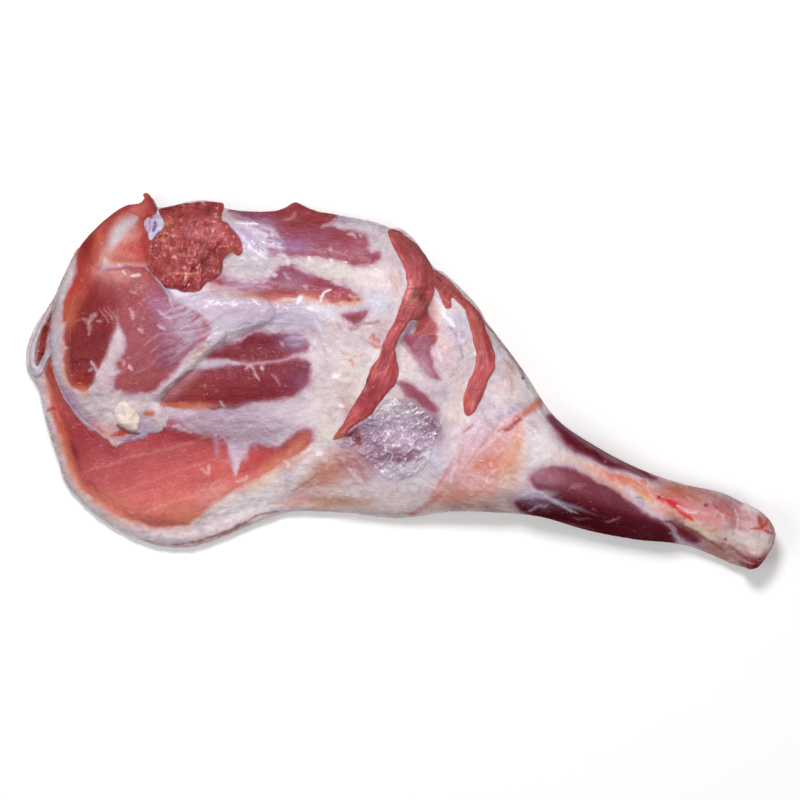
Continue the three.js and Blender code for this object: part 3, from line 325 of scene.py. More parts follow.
# Thin lines on the surface: points, half width, colour, strength, and rise of the strand.
# Those that rise as much as STRAND_RISE are sinews, and get a mesh of their own.
STRAND_RISE = 0.45
STREAKS = [
    # the dark slit behind the flap, and a painted shadow in the hollow below the knob
    ([(-221.5, 38), (-224, 32), (-226, 25), (-227.5, 18), (-228.5, 11)], 3.2, (140, 30, 22), 0.97, -0.5),
    ([(-225.5, 37), (-228.5, 30), (-230.5, 23), (-231.5, 14)], 0.8, (206, 112, 80), 0.8, 0.0),
    ([(-226.5, 18), (-228.5, 13), (-229.5, 9)], 1.4, (104, 18, 24), 0.9, -0.6),
    ([(-221, 16), (-221, 9), (-219, 2)], 2.0, (172, 66, 44), 0.9, 0.0),
    ([(-179, -27), (-175, -30.5), (-171, -33), (-165, -33.5)], 1.3, (92, 40, 52), 0.85, -0.8),
    ([(-180, -35), (-176, -33), (-172, -32)], 1.6, (172, 66, 46), 0.95, -0.2),
    # between the two rear muscles, and their sinews
    ([(-124, 10.5), (-114, 11.5), (-104, 10.5), (-94, 10.8), (-80, 12.6), (-66, 14.5), (-56, 20)],
     0.6, (182, 140, 160), 0.7, 0.3),
    ([(-126, 9), (-114, 10.5), (-103, 10.5)], 1.9, (190, 174, 194), 0.75, 0.3),
    ([(-97, 7), (-94, 10.5), (-92, 8), (-91, 4), (-88, 1)], 0.4, (214, 190, 208), 0.7, 0.3),
    ([(-87, 10), (-85.5, 7)], 0.6, (226, 206, 220), 0.8, 0.3),
    ([(-80, 4), (-76, 0), (-74, -3)], 0.5, (190, 130, 150), 0.6, 0.2),
    ([(-113, -12), (-111, -16), (-108, -18)], 0.6, (206, 190, 206), 0.7, 0.2),
    ([(-106, 11), (-107, 6), (-106, 2)], 0.6, (166, 100, 116), 0.5, 0.0),
    ([(-100, 24), (-96, 27), (-92, 29)], 0.7, (206, 180, 196), 0.6, 0.3),
    ([(-83, 33), (-78, 31), (-75, 32)], 0.7, (214, 204, 220), 0.8, 0.3),
    ([(-75, 25), (-72, 22)], 0.6, (200, 170, 190), 0.7, 0.2),
    ([(-120, 25), (-108, 30), (-96, 33), (-84, 37), (-70, 37)], 0.9, (208, 202, 214), 0.75, 0.4),
    ([(-118, 34), (-108, 42), (-96, 44), (-80, 44)], 0.7, (156, 128, 152), 0.5, -0.2),
    ([(-104, 32), (-92, 38), (-78, 41), (-64, 42)], 0.8, (158, 136, 158), 0.5, -0.2),
    # blade muscle; the pale flecks near (-167, 66), (-167, 42), (-162, 31) and (-192, 9) are painted
    # highlights, glints on the wet muscle
    ([(-208, 33), (-204, 36), (-199, 38.5)], 0.6, (180, 104, 96), 0.5, 0.2),
    ([(-199, 38.5), (-196, 37), (-195, 33), (-194, 28)], 0.9, (178, 130, 134), 0.7, 0.2),
    ([(-195, 37), (-192, 40.5), (-190, 41.5)], 1.3, (178, 138, 150), 0.7, 0.2),
    ([(-190, 37), (-186, 36.5)], 0.6, (196, 150, 160), 0.6, 0.2),
    ([(-188, 45), (-184, 40), (-181, 36)], 0.5, (186, 124, 130), 0.6, 0.2),
    ([(-185, 46), (-181, 41), (-178, 37)], 0.5, (186, 124, 130), 0.6, 0.2),
    ([(-182, 47), (-179, 42), (-176, 38)], 0.5, (180, 116, 124), 0.5, 0.2),
    ([(-169, 45), (-167, 42), (-166, 38)], 1.0, (214, 176, 184), 0.6, 0.3),
    ([(-164, 32.5), (-162, 31), (-160, 29.5)], 0.5, (216, 176, 184), 0.6, 0.3),
    ([(-169.5, 9), (-167, 6.5)], 0.7, (220, 190, 204), 0.8, 0.3),
    ([(-169, 66), (-166, 66), (-163, 65.5)], 1.1, (240, 216, 222), 0.7, 0.4),
    ([(-174, 69), (-172, 67.5)], 0.7, (236, 206, 210), 0.8, 0.3),
    ([(-170, 56), (-168, 55), (-166, 54)], 0.6, (206, 150, 156), 0.6, 0.2),
    ([(-159, 70), (-155, 67), (-151, 62), (-147, 57), (-143.5, 52), (-142, 48)],
     0.7, (188, 184, 204), 0.85, 0.5),
    ([(-158, 69), (-154, 65.5), (-150, 60), (-146, 55), (-144, 50)], 0.5, (128, 84, 104), 0.6, -0.3),
    ([(-166, 4), (-158, 8), (-150, 15), (-138, 19), (-128, 25)], 0.6, (186, 136, 150), 0.3, 0.1),
    ([(-160, 22), (-152, 28), (-141, 30), (-130, 35)], 0.6, (186, 150, 172), 0.35, 0.1),
    ([(-156, 17), (-147, 24), (-136, 27), (-126, 31)], 0.6, (186, 150, 172), 0.35, 0.1),
    ([(-152, 44), (-146, 40), (-143, 38)], 0.7, (200, 176, 206), 0.7, 0.3),
    ([(-151, 34), (-146, 32)], 0.6, (206, 190, 214), 0.7, 0.3),
    ([(-176, 12), (-174, 13), (-172, 11), (-173, 8)], 0.8, (196, 168, 170), 0.6, 0.2),
    ([(-194, 12), (-191, 9), (-189, 6)], 1.0, (206, 184, 194), 0.7, 0.3),
    ([(-195, 6), (-192, 7)], 0.6, (196, 160, 172), 0.6, 0.2),
    ([(-204, 12.5), (-199, 12), (-194, 12.5)], 0.6, (96, 22, 26), 0.7, -0.3),
    ([(-209, 21), (-207, 20)], 0.6, (200, 176, 180), 0.6, 0.0),
    ([(-190, -29), (-187, -32.5), (-184, -35)], 0.9, (186, 112, 92), 0.8, -0.2),
    ([(-199, -19), (-197, -20), (-195, -22)], 1.3, (158, 144, 138), 0.5, 0.0),
    ([(-161.5, -20.5), (-158, -21.5), (-155, -20.5)], 1.3, (186, 96, 62), 0.9, -0.3),
    # flat sheet: pale lines that rise to the right, and the orange seam of its rim
    ([(-200, -58), (-175, -50), (-150, -44), (-122, -36)], 0.6, (198, 116, 116), 0.6, 0.15),
    ([(-186, -74), (-160, -64), (-135, -55), (-114, -48)], 0.6, (206, 122, 118), 0.6, 0.15),
    ([(-168, -86), (-146, -78), (-128, -70), (-110, -60)], 0.6, (214, 134, 120), 0.6, 0.15),
    # painted shadow along the lower edge of the blade muscle, on the flat sheet below it
    ([(-205, -26), (-190, -33)], 0.6, (150, 50, 58), 0.4, 0.0),
    ([(-186, -43), (-170, -40)], 1.2, (140, 44, 54), 0.4, 0.0),
    ([(-120, -66), (-116, -70), (-113, -75)], 1.0, (220, 156, 146), 0.6, 0.2),
    ([(-126, -55), (-122, -58), (-121, -53)], 0.8, (226, 168, 166), 0.6, 0.2),
    ([(-104, -63.5), (-99, -63), (-97, -60)], 0.8, (226, 176, 172), 0.7, 0.2),
    ([(-120, -33), (-118, -38), (-116, -44), (-117, -48)], 1.3, (186, 122, 140), 0.6, 0.2),
    ([(-112, -34), (-106, -42), (-104, -50), (-104.5, -59)], 1.6, (206, 178, 192), 0.8, 0.3),
    ([(-100, -36), (-98, -44), (-98, -50)], 1.3, (196, 156, 172), 0.6, 0.2),
    ([(-92, -40), (-90, -44)], 0.9, (196, 150, 166), 0.5, 0.2),
    ([(-142, -29), (-136, -31), (-131, -33)], 0.8, (232, 200, 204), 0.8, 0.4),
    ([(-224, -19), (-220, -18), (-216.5, -18)], 0.9, (168, 40, 34), 0.9, 0.0),
    ([(-150, -14), (-135, -16), (-118, -16.8)], 1.3, (196, 112, 84), 0.8, 0.0),
    ([(-122, -16.8), (-112, -17), (-100, -16)], 0.9, (84, 50, 74), 0.6, -0.3),
    ([(-70, -52), (-64, -50), (-58, -46), (-52, -44)], 0.8, (204, 144, 120), 0.6, 0.0),
    ([(-74, -50), (-70, -52), (-72, -55)], 0.7, (226, 206, 210), 0.6, 0.2),
    ([(-145, -103), (-130, -101.5), (-115, -97), (-102, -91), (-88, -85), (-78, -82)],
     0.7, (158, 84, 72), 0.8, -0.4),
    ([(-148, -96), (-130, -97), (-118, -94)], 0.6, (206, 176, 168), 0.5, 0.2),
    ([(-84, -77), (-76, -76), (-70, -78)], 0.9, (202, 138, 128), 0.6, 0.0),
    # front of the shoulder: the near-white lines are painted highlights, glints on wet folds of silver
    # skin, and the dusky sunk lines between them painted shade in the folds
    ([(-103.5, 98.5), (-98, 98), (-92, 98.2), (-88.5, 98)], 1.1, (246, 238, 250), 0.95, 0.5),
    ([(-92, 92.5), (-87, 92.5)], 0.9, (226, 216, 238), 0.8, 0.4),
    ([(-90, 90), (-86, 88), (-82, 90)], 1.0, (222, 210, 234), 0.8, 0.4),
    ([(-80, 92), (-78, 89.5)], 0.9, (232, 222, 240), 0.8, 0.4),
    ([(-85, 86), (-80, 84), (-78, 86)], 1.0, (220, 208, 232), 0.7, 0.4),
    ([(-88, 82), (-86, 80), (-83, 78)], 1.0, (240, 234, 250), 0.9, 0.5),
    ([(-104, 92), (-98, 91), (-92, 88)], 0.7, (200, 186, 216), 0.7, 0.3),
    ([(-106, 96), (-101, 90), (-99, 84)], 0.6, (160, 132, 162), 0.6, -0.2),
    ([(-103, 94), (-97, 88), (-93, 80)], 0.7, (238, 232, 246), 0.7, 0.4),
    ([(-99, 95), (-93, 89), (-88, 83), (-86, 78)], 0.7, (148, 126, 166), 0.6, -0.3),
    ([(-97, 97), (-90, 93.5), (-82, 90)], 0.8, (244, 238, 250), 0.8, 0.4),
    ([(-96, 86), (-88, 79), (-84, 76)], 0.8, (246, 242, 252), 0.8, 0.4),
    ([(-92, 84), (-84, 78.5), (-78, 76.5)], 0.7, (156, 138, 176), 0.6, -0.3),
    ([(-88, 96), (-80, 94), (-75, 89)], 0.7, (216, 202, 228), 0.6, 0.3),
    ([(-98, 82), (-97, 80)], 0.8, (232, 224, 244), 0.8, 0.3),
    ([(-100, 76), (-97, 76)], 0.7, (236, 230, 240), 0.7, 0.3),
    ([(-93, 77), (-90, 74), (-88, 72)], 0.7, (232, 226, 236), 0.7, 0.3),
    ([(-66.5, 105.5), (-68, 103), (-70, 101), (-75, 99.5)], 0.7, (190, 130, 146), 0.7, 0.3),
    ([(-84, 102), (-87, 100)], 0.5, (184, 130, 160), 0.6, 0.2),
    ([(-108, 106), (-100, 103), (-94, 101)], 0.8, (196, 168, 160), 0.6, 0.2),
    ([(-78, 79), (-72, 77), (-70, 72)], 0.9, (226, 216, 220), 0.7, 0.3),
    ([(-82, 68), (-79, 66), (-76, 66)], 1.2, (226, 216, 230), 0.8, 0.3),
    ([(-85, 65), (-81, 64.5)], 0.9, (226, 216, 230), 0.7, 0.3),
    ([(-73, 67), (-70, 64.5), (-68, 63)], 0.8, (206, 180, 202), 0.7, 0.3),
    ([(-58, 78), (-57, 75), (-59, 71)], 0.8, (234, 222, 216), 0.6, 0.2),
    ([(-44, 76), (-42, 73)], 1.0, (236, 228, 230), 0.6, 0.2),
    ([(-49.5, 50), (-48.5, 53), (-46.5, 55.5), (-43, 57)], 0.7, (242, 232, 240), 0.9, 0.6),
    ([(-64.5, 47), (-63, 50), (-60.5, 52.5)], 0.8, (242, 234, 242), 0.9, 0.6),
    ([(-58, 57), (-60, 60)], 0.9, (206, 184, 204), 0.6, 0.2),
    ([(-92, 50), (-90, 48)], 1.0, (236, 224, 230), 0.7, 0.3),
    ([(-84, 49), (-83, 48), (-84, 44)], 0.8, (226, 212, 224), 0.6, 0.3),
    ([(-57.5, 46), (-54.5, 45.5)], 1.2, (246, 242, 250), 0.85, 0.4),
    ([(-122, 60), (-112, 58.7), (-104, 57), (-97, 55)], 1.3, (206, 176, 190), 0.8, 0.3),
    ([(-44, 64), (-38, 62), (-34, 60)], 0.5, (196, 130, 148), 0.6, 0.2),
    ([(-42, 62.5), (-36, 60)], 0.5, (232, 214, 220), 0.6, 0.2),
    ([(-32, 54), (-28, 52), (-25, 53)], 0.8, (232, 190, 176), 0.6, 0.2),
    ([(-40, 48.5), (-30, 48.5), (-22, 49.5)], 0.8, (216, 186, 158), 0.7, 0.0),
    ([(-33, 91), (-30, 91.5), (-28, 89)], 0.8, (222, 186, 196), 0.7, 0.3),
    ([(-26, 92), (-25, 90)], 0.6, (226, 196, 206), 0.6, 0.3),
    ([(-44, 83), (-43.5, 81)], 0.8, (222, 170, 184), 0.7, 0.3),
    ([(-49, 95.5), (-45, 98), (-42, 100), (-41, 103)], 0.7, (206, 160, 176), 0.7, 0.3),
    ([(-45, 105), (-43, 104)], 0.9, (140, 110, 128), 0.5, 0.0),
    # the fat over the shoulder joint
    ([(-19, 27), (-17, 29), (-16, 25), (-14, 26), (-13, 23)], 0.6, (206, 100, 84), 0.8, 0.2),
    ([(-19, 24), (-17, 22.5), (-14, 21), (-11, 22)], 0.6, (204, 96, 80), 0.7, 0.2),
    ([(-32, 13), (-29, 12), (-30, 9)], 0.8, (208, 130, 96), 0.8, 0.0),
    ([(-30, 33), (-27, 35), (-20, 36), (-12, 35.5)], 0.6, (140, 76, 70), 0.7, -0.3),
    ([(-32, 32), (-28, 33), (-26, 35)], 1.0, (146, 92, 96), 0.6, -0.2),
    ([(-47, 34), (-40, 35), (-36, 32)], 0.8, (174, 138, 150), 0.6, 0.0),
    ([(-56, 34), (-54, 31), (-52, 32)], 1.6, (160, 124, 150), 0.5, -0.2),
    ([(-54, 38), (-51, 34), (-48, 30)], 1.0, (212, 206, 220), 0.7, 0.3),
    ([(-40, 20), (-34, 17), (-28, 16), (-22, 17)], 0.4, (196, 130, 120), 0.5, 0.0),
    # painted highlights: glints on the wet fat at (-40, 2) and (-38, -15)
    ([(-42, 2), (-39, 1), (-37, 3)], 1.0, (246, 240, 242), 0.8, 0.3),
    ([(-39, -14.5), (-36, -16)], 1.0, (244, 236, 238), 0.8, 0.3),
    ([(-44, -6), (-36, -3), (-28, -2)], 0.5, (206, 172, 156), 0.5, 0.0),
    ([(-50, -18), (-45, -22), (-41, -27)], 0.6, (206, 180, 160), 0.6, -0.2),
    ([(-52, -44), (-50, -46), (-48, -45)], 1.0, (240, 234, 232), 0.7, 0.3),
    ([(-6, 56), (-5, 64), (-4, 70)], 0.8, (204, 160, 166), 0.5, 0.0),
    ([(-4, 66), (-2, 62), (-1, 58)], 0.7, (226, 180, 158), 0.5, 0.0),
    # between the two straps
    ([(-1, 26), (6, 18), (13, 9), (20, 2)], 0.5, (150, 120, 130), 0.5, -0.3),
    ([(3, 27), (12, 29), (19, 29.5), (22, 28)], 0.6, (190, 96, 92), 0.7, 0.2),
    ([(19.5, 26), (21.5, 27), (22.7, 25), (21.5, 23), (20, 23.4)], 0.8, (150, 50, 60), 0.9, 0.2),
    ([(20, 20), (21, 16), (23, 12)], 1.4, (206, 170, 186), 0.6, 0.3),
    ([(24, 18), (25, 15), (27, 12)], 0.9, (234, 220, 226), 0.7, 0.3),
    ([(28, 26), (30, 20), (31, 16)], 0.8, (222, 170, 156), 0.6, 0.2),
    ([(26, 42), (30, 38), (34, 33)], 1.0, (236, 232, 246), 0.85, 0.4),
    ([(30, 33), (35, 28), (38, 21), (39, 14)], 0.6, (140, 122, 152), 0.6, -0.2),
    ([(36, 27), (38, 24), (40, 26)], 0.9, (226, 220, 236), 0.7, 0.4),
    ([(22, 52), (26, 46), (27, 40)], 0.9, (236, 228, 236), 0.7, 0.3),
    # a painted highlight, a glint on the wet fat
    ([(46, 18), (48, 17)], 0.8, (240, 228, 232), 0.8, 0.3),
    ([(28, 4), (32, 0), (36, -4)], 0.6, (226, 206, 206), 0.5, 0.3),
    ([(30, -8), (33, -16), (34, -26)], 0.6, (226, 206, 200), 0.6, 0.3),
    ([(43.5, -26), (41, -30), (37, -34)], 0.9, (176, 72, 70), 0.85, 0.0),
    ([(30, -50), (26, -60), (23, -66), (19, -72)], 1.0, (200, 116, 110), 0.5, 0.0),
    ([(26, -70), (19, -76), (12, -81), (5, -85)], 1.8, (196, 112, 102), 0.6, 0.0),
    ([(34, -44), (31, -50), (28, -58), (27, -66)], 0.6, (206, 150, 156), 0.5, 0.3),
    ([(44, -24), (36, -38), (33, -52), (30, -64)], 0.9, (222, 196, 202), 0.6, 0.4),
    ([(52, -22), (44, -36), (38, -50)], 0.8, (214, 184, 196), 0.6, 0.3),
    ([(60, -26), (52, -38), (44, -48), (40, -52)], 0.7, (196, 130, 140), 0.6, 0.2),
    ([(64, -30), (58, -36), (48, -45)], 0.8, (226, 196, 200), 0.5, 0.3),
    ([(66, -42), (60, -48), (58, -50)], 0.7, (200, 124, 120), 0.6, 0.0),
    ([(90, -10), (86, -14), (81, -18), (77, -21)], 2.6, (200, 116, 88), 0.9, -0.4),
    ([(80, -19), (74, -23), (67, -28), (60, -31)], 1.8, (190, 112, 106), 0.7, -0.2),
    ([(76, -23.5), (70, -27), (64, -30)], 0.8, (150, 60, 78), 0.85, -0.3),
    ([(68, 6), (70, 2), (70, -4), (69, -10)], 0.7, (196, 130, 112), 0.5, 0.0),
    ([(66, 12), (70, 8), (73, 4)], 0.9, (182, 138, 116), 0.5, 0.0),
    ([(77, 2.6), (78.6, 1.6)], 1.0, (120, 40, 44), 0.9, 0.2),
    ([(22, 69), (30, 62), (40, 52), (50, 41), (60, 28), (70, 15), (78, 4)], 0.8, (150, 88, 78), 0.6, 0.0),
    ([(-60, -70), (-48, -68), (-36, -70), (-26, -70)], 1.4, (222, 204, 198), 0.5, 0.1),
    ([(-56, -73), (-44, -72), (-32, -75)], 0.7, (214, 186, 172), 0.6, 0.2),
    ([(-32, -55), (-26, -61), (-20, -68)], 1.2, (216, 196, 196), 0.7, 0.3),
    ([(-68, -69), (-62, -66), (-52, -58)], 0.6, (176, 96, 90), 0.6, -0.3),
    ([(-55, -66), (-48, -70), (-40, -71)], 0.6, (226, 206, 198), 0.5, 0.2),
    ([(-46, -55), (-42, -51), (-38, -49)], 0.5, (214, 176, 164), 0.4, 0.0),
    # shank
    ([(76, -72), (84, -69), (92, -72), (100, -77), (110, -83)], 0.6, (190, 184, 208), 0.8, 0.4),
    ([(80, -82), (84, -80), (88, -77)], 0.7, (186, 166, 186), 0.6, 0.2),
    ([(88, -79), (92, -76)], 0.5, (176, 150, 176), 0.6, 0.2),
    ([(106, -66), (110, -65), (115, -64)], 0.9, (176, 120, 128), 0.5, 0.2),
    ([(106, -86), (112, -86.5), (118, -87)], 0.5, (140, 84, 96), 0.5, 0.0),
    ([(128, -88), (134, -87), (137, -85)], 0.6, (150, 92, 104), 0.6, 0.2),
    ([(120, -61), (130, -66), (140, -72), (148, -78)], 0.9, (206, 168, 150), 0.6, 0.1),
    ([(158, -83), (164, -88), (170, -93), (175, -100)], 0.7, (196, 176, 190), 0.7, 0.3),
    ([(166, -89), (172, -93), (168, -96)], 0.5, (190, 166, 184), 0.6, 0.2),
    ([(160, -71.5), (162, -73)], 1.0, (186, 20, 36), 0.95, 0.3),
    ([(165, -75), (171, -79), (177, -83), (183, -87)], 1.7, (204, 36, 32), 0.95, 0.2),
    ([(163, -74), (170, -77), (178, -80)], 1.5, (206, 44, 62), 0.8, 0.2),
    ([(172, -78), (178, -80), (186, -83)], 0.7, (240, 190, 196), 0.8, 0.4),
    ([(150, -62), (153, -64)], 1.2, (196, 88, 66), 0.7, 0.0),
    ([(136, -60), (145, -63), (150, -66)], 1.0, (212, 112, 92), 0.6, 0.2),
    ([(130, -64), (140, -68)], 0.6, (232, 160, 96), 0.6, 0.0),
    ([(152.5, -72), (155, -73)], 1.2, (228, 160, 56), 0.85, 0.2),
    ([(157, -75), (160, -76)], 0.8, (232, 180, 90), 0.7, 0.2),
    ([(146, -73), (150, -72.5), (152, -74)], 0.6, (120, 90, 116), 0.6, -0.2),
    ([(190, -77.5), (192, -78)], 1.1, (158, 34, 34), 0.9, 0.2),
    ([(195, -75), (197, -79), (201, -82)], 0.8, (166, 56, 52), 0.7, 0.2),
    ([(200, -80), (206, -83), (209, -82)], 0.7, (196, 100, 84), 0.7, 0.2),
    ([(202, -99.5), (204, -100)], 0.9, (176, 70, 50), 0.9, 0.0),
    ([(162, -88), (172, -89), (180, -92.5), (188, -97), (197, -102), (204, -108)],
     0.9, (140, 72, 62), 0.8, -0.4),
    ([(178, -88), (188, -93), (198, -99)], 1.6, (232, 204, 172), 0.7, 0.25),
    ([(166, -68), (176, -71), (188, -75)], 1.2, (176, 92, 66), 0.6, 0.0),
    ([(210, -80), (212, -88), (210, -95)], 0.6, (222, 196, 204), 0.6, 0.3),
    ([(205, -103), (212, -109), (219, -111.5), (227, -110.5)], 0.8, (156, 66, 62), 0.7, -0.3),
    ([(220, -92), (224, -91.5), (228, -93), (233, -95)], 0.9, (176, 54, 46), 0.9, 0.0),
    ([(224, -84), (226, -88), (227.5, -92)], 1.0, (172, 50, 42), 0.85, 0.0),
    ([(230, -87), (228, -90), (225, -92)], 0.8, (180, 62, 52), 0.8, 0.0),
    ([(226, -83), (231, -87.5), (234, -94), (234, -101), (231, -108)], 1.0, (190, 106, 98), 0.7, 0.0),
    ([(212, -103), (219, -105), (226, -104.5)], 0.6, (204, 144, 122), 0.6, 0.0),
    ([(190, -104), (202, -108), (214, -113)], 1.2, (186, 134, 124), 0.5, 0.0),
    ([(198, -100), (210, -104), (220, -108)], 0.5, (226, 170, 150), 0.5, 0.2),
]

TAN_FRINGE = (208, 134, 106)  # where fat thins out over lean, on the lower borders of some muscles
TAN_BORDERS = {"flat_sheet", "outer_red", "blade_dark", "second_streak", "brick_triangle"}
MAUVE_FRINGE = (170, 128, 158)  # where silver skin thins out over lean, on all other borders


def linear(colour):
    """A 0 to 255 display colour as scene-linear numbers."""
    c = np.asarray(colour, float) / 255
    return np.where(c <= 0.04045, c / 12.92, ((c + 0.055) / 1.055) ** 2.4)


def smoothstep(low, high, value):
    t = np.clip((value - low) / (high - low), 0, 1)
    return t * t * (3 - 2 * t)


def hump(value, middle, half):
    """1 in the middle, and down to 0 on both sides of it."""
    return np.exp(-(((value - middle) / half) ** 2))


def smooth_line(points, closed, steps=5):
    """A rounded line through the points, as many short stretches."""
    p = np.array(points, float)
    if closed:
        p = np.vstack([p[-1:], p, p[:2]])
    else:
        p = np.vstack([2 * p[0] - p[1], p, 2 * p[-1] - p[-2]])
    t = np.linspace(0, 1, steps, endpoint=False)[:, None]
    bends = []
    for a, b, c, d in zip(p, p[1:], p[2:], p[3:]):
        bends.append(b + 0.5 * t * (c - a + t * (2 * a - 5 * b + 4 * c - d + t * (3 * (b - c) + d - a))))
    line = np.vstack(bends)
    return np.vstack([line, line[:1] if closed else p[-2:-1]])


def nearest_on(line, x, y):
    """For each place its distance to the line, how far along, on which side, and how far up and right."""
    best = np.full(x.shape, 1e9)
    run = np.zeros(x.shape)
    side = np.ones(x.shape)
    above = np.zeros(x.shape)
    done = 0.0
    for a, b in zip(line, line[1:]):
        d = b - a
        length = math.hypot(*d)
        t = np.clip(((x - a[0]) * d[0] + (y - a[1]) * d[1]) / max(length**2, 1e-9), 0, 1)
        px, py = x - a[0] - t * d[0], y - a[1] - t * d[1]
        far = np.hypot(px, py)
        near = far < best
        best[near] = far[near]
        run[near] = done + t[near] * length
        side[near] = np.sign(d[0] * py - d[1] * px)[near]
        above[near] = (0.5 * px + 0.86 * py)[near]
        done += length
    return best, run, side, above


def around(line, x, y, reach):
    """Picks the places that lie within reach of a line's own box."""
    low, high = line.min(0) - reach, line.max(0) + reach
    return (x > low[0]) & (x < high[0]) & (y > low[1]) & (y < high[1])


REACH = 12.0  # how far from its border an outline is followed


def border_of(outline, x, y):
    """How far inside a closed outline each place is, and how much its nearest border faces down left.

    The first is negative outside. The second is 1 beside a border that faces down left and -1
    beside one that faces up right.
    """
    line = smooth_line(outline, True)
    found = np.full(x.shape, -REACH)
    facing = np.zeros(x.shape)
    pick = around(line, x, y, REACH)
    px, py = x[pick], y[pick]
    far, _, _, above = nearest_on(line, px, py)
    within = np.zeros(px.shape, bool)
    for a, b in zip(line, line[1:]):
        if a[1] == b[1]:
            continue
        crosses = (a[1] > py) != (b[1] > py)
        within ^= crosses & (px < a[0] + (py - a[1]) / (b[1] - a[1]) * (b[0] - a[0]))
    found[pick] = np.clip(np.where(within, far, -far), -REACH, REACH)
    facing[pick] = np.where(within, above, -above) / np.maximum(far, 1e-6)
    return found, facing


def ripple(x, y, size, seed):
    """Smooth noise from -1 to 1 with lumps of that size."""
    table = np.random.default_rng(seed).uniform(-1, 1, (61, 61))
    u, v = x / size + 200, y / size + 200
    i, j = np.floor(u).astype(int), np.floor(v).astype(int)
    s, t = u - i, v - j
    s, t = s * s * (3 - 2 * s), t * t * (3 - 2 * t)
    low = table[i % 61, j % 61] * (1 - s) + table[(i + 1) % 61, j % 61] * s
    high = table[i % 61, (j + 1) % 61] * (1 - s) + table[(i + 1) % 61, (j + 1) % 61] * s
    return low * (1 - t) + high * t


def fine_copy(node, voxel):
    """A node's solid as one even, closed mesh in a new object."""
    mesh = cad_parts[node].data.copy()
    bm = bmesh.new()
    bm.from_mesh(mesh)
    bmesh.ops.remove_doubles(bm, verts=bm.verts, dist=0.001 * MM)
    bm.to_mesh(mesh)
    bm.free()
    mesh.materials.clear()
    piece = bpy.data.objects.new(node + "_flesh", mesh)
    bpy.context.scene.collection.objects.link(piece)
    remesh = piece.modifiers.new("even", "REMESH")
    remesh.mode = "VOXEL"
    remesh.voxel_size = voxel
    settle(piece)
    return piece


def settle(piece):
    """Applies a piece's modifiers."""
    depsgraph = bpy.context.evaluated_depsgraph_get()
    mesh = bpy.data.meshes.new_from_object(piece.evaluated_get(depsgraph))
    piece.modifiers.clear()
    piece.data = mesh
    mesh.shade_smooth()


def read(piece, name):
    """The places or the normals of all points of a piece."""
    values = np.empty(len(piece.data.vertices) * 3)
    piece.data.vertices.foreach_get(name, values)
    return values.reshape(-1, 3)


def place(piece, co):
    piece.data.vertices.foreach_set("co", (co * MM).ravel())
    piece.data.update()


def soften(piece, rounds, swell=0.0):
    """Evens out a mesh, keeping its volume, and then moves its skin out by swell."""
    co = read(piece, "co") / MM
    edges = np.empty(len(piece.data.edges) * 2, int)
    piece.data.edges.foreach_get("vertices", edges)
    a, b = edges.reshape(-1, 2).T
    count = np.bincount(a, minlength=len(co)) + np.bincount(b, minlength=len(co))
    for share in (0.6, -0.56) * rounds:  # in, and out again by a little less
        total = np.zeros_like(co)
        for axis in range(3):
            total[:, axis] = np.bincount(a, co[b, axis], len(co)) + np.bincount(b, co[a, axis], len(co))
        co += share * (total / count[:, None] - co)
    place(piece, co)
    if swell:
        place(piece, co + swell * read(piece, "normal"))


def write(piece, name, kind, values):
    """Stores a value for each point of a piece, for its material to read."""
    slot = {"FLOAT": "value", "FLOAT_COLOR": "color", "FLOAT_VECTOR": "vector"}[kind]
    values = np.asarray(values, float)
    if kind == "FLOAT_COLOR":
        values = np.hstack([values, np.ones((len(values), 1))])
    piece.data.attributes.new(name, kind, "POINT").data.foreach_set(slot, values.ravel())


def lay(colours, colour, share):
    """Lays a colour over some of the colours."""
    colours += (linear(colour) - colours) * share[:, None]


def stain(colours, x, y, stains):
    """Lays soft ovals over the colours."""
    for cx, cy, along, across, turn, colour, strength in stains:
        c, s = math.cos(math.radians(turn)), math.sin(math.radians(turn))
        u = ((x - cx) * c + (y - cy) * s) / along
        v = ((y - cy) * c - (x - cx) * s) / across
        lay(colours, colour, strength * np.exp(-((u * u + v * v) ** 1.3) * 0.9))


def lay_out(muscles, x, y, wx, wy, lean, grain, veil, lift):
    """Lays muscles over the lean's colours, the grain, the silver skin and the relief.

    Returns how far inside the muscles each place is, and how much their border there faces
    down left.
    """
    edge = np.full(len(x), -8.0)
    facing = np.zeros(len(x))
    for name, (outline, colour, turn, rise, milk, torn) in muscles.items():
        d, low = border_of(outline, wx, wy)
        lay(lean, colour, smoothstep(-4, 3, d))
        c, s = math.cos(math.radians(turn)), math.sin(math.radians(turn))
        mine = (d > edge) & (d > -6)
        facing[mine] = low[mine] if name in TAN_BORDERS else -1
        grain[mine] = np.column_stack([x * c + y * s, y * c - x * s, 0 * x + torn])[mine]
        edge = np.maximum(edge, d)
        veil[:] = np.maximum(veil, milk * smoothstep(0, 4, d))
        lift += rise * smoothstep(-0.5, 2.5, d)
    return edge, facing


def paint_fat(fat, x, y, wx, wy, clouds, strands, stains):
    """Mauve, white and pink clouds in the fat, its stains, and the strands that run along it."""
    lay(fat, (180, 160, 180), 0.4 * smoothstep(0.1, 1.2, clouds))
    lay(fat, (230, 222, 218), 0.5 * smoothstep(0.1, 1.0, -clouds))
    lay(fat, (206, 164, 158), 0.3 * smoothstep(0.4, 1.2, ripple(wx, wy, 6, 15) - 0.3 * clouds))
    stain(fat, wx + 0.8 * ripple(x, y, 2.5, 23), wy + 0.8 * ripple(x, y, 2.5, 24), stains)
    fat *= 1 - 0.1 * smoothstep(0.2, 1.2, clouds)[:, None]
    lay(fat, (234, 226, 230), 0.2 * smoothstep(0.25, 1.0, strands))
    lay(fat, (162, 132, 150), 0.22 * smoothstep(0.35, 0.9, ripple(wx, wy, 2.4, 20)))


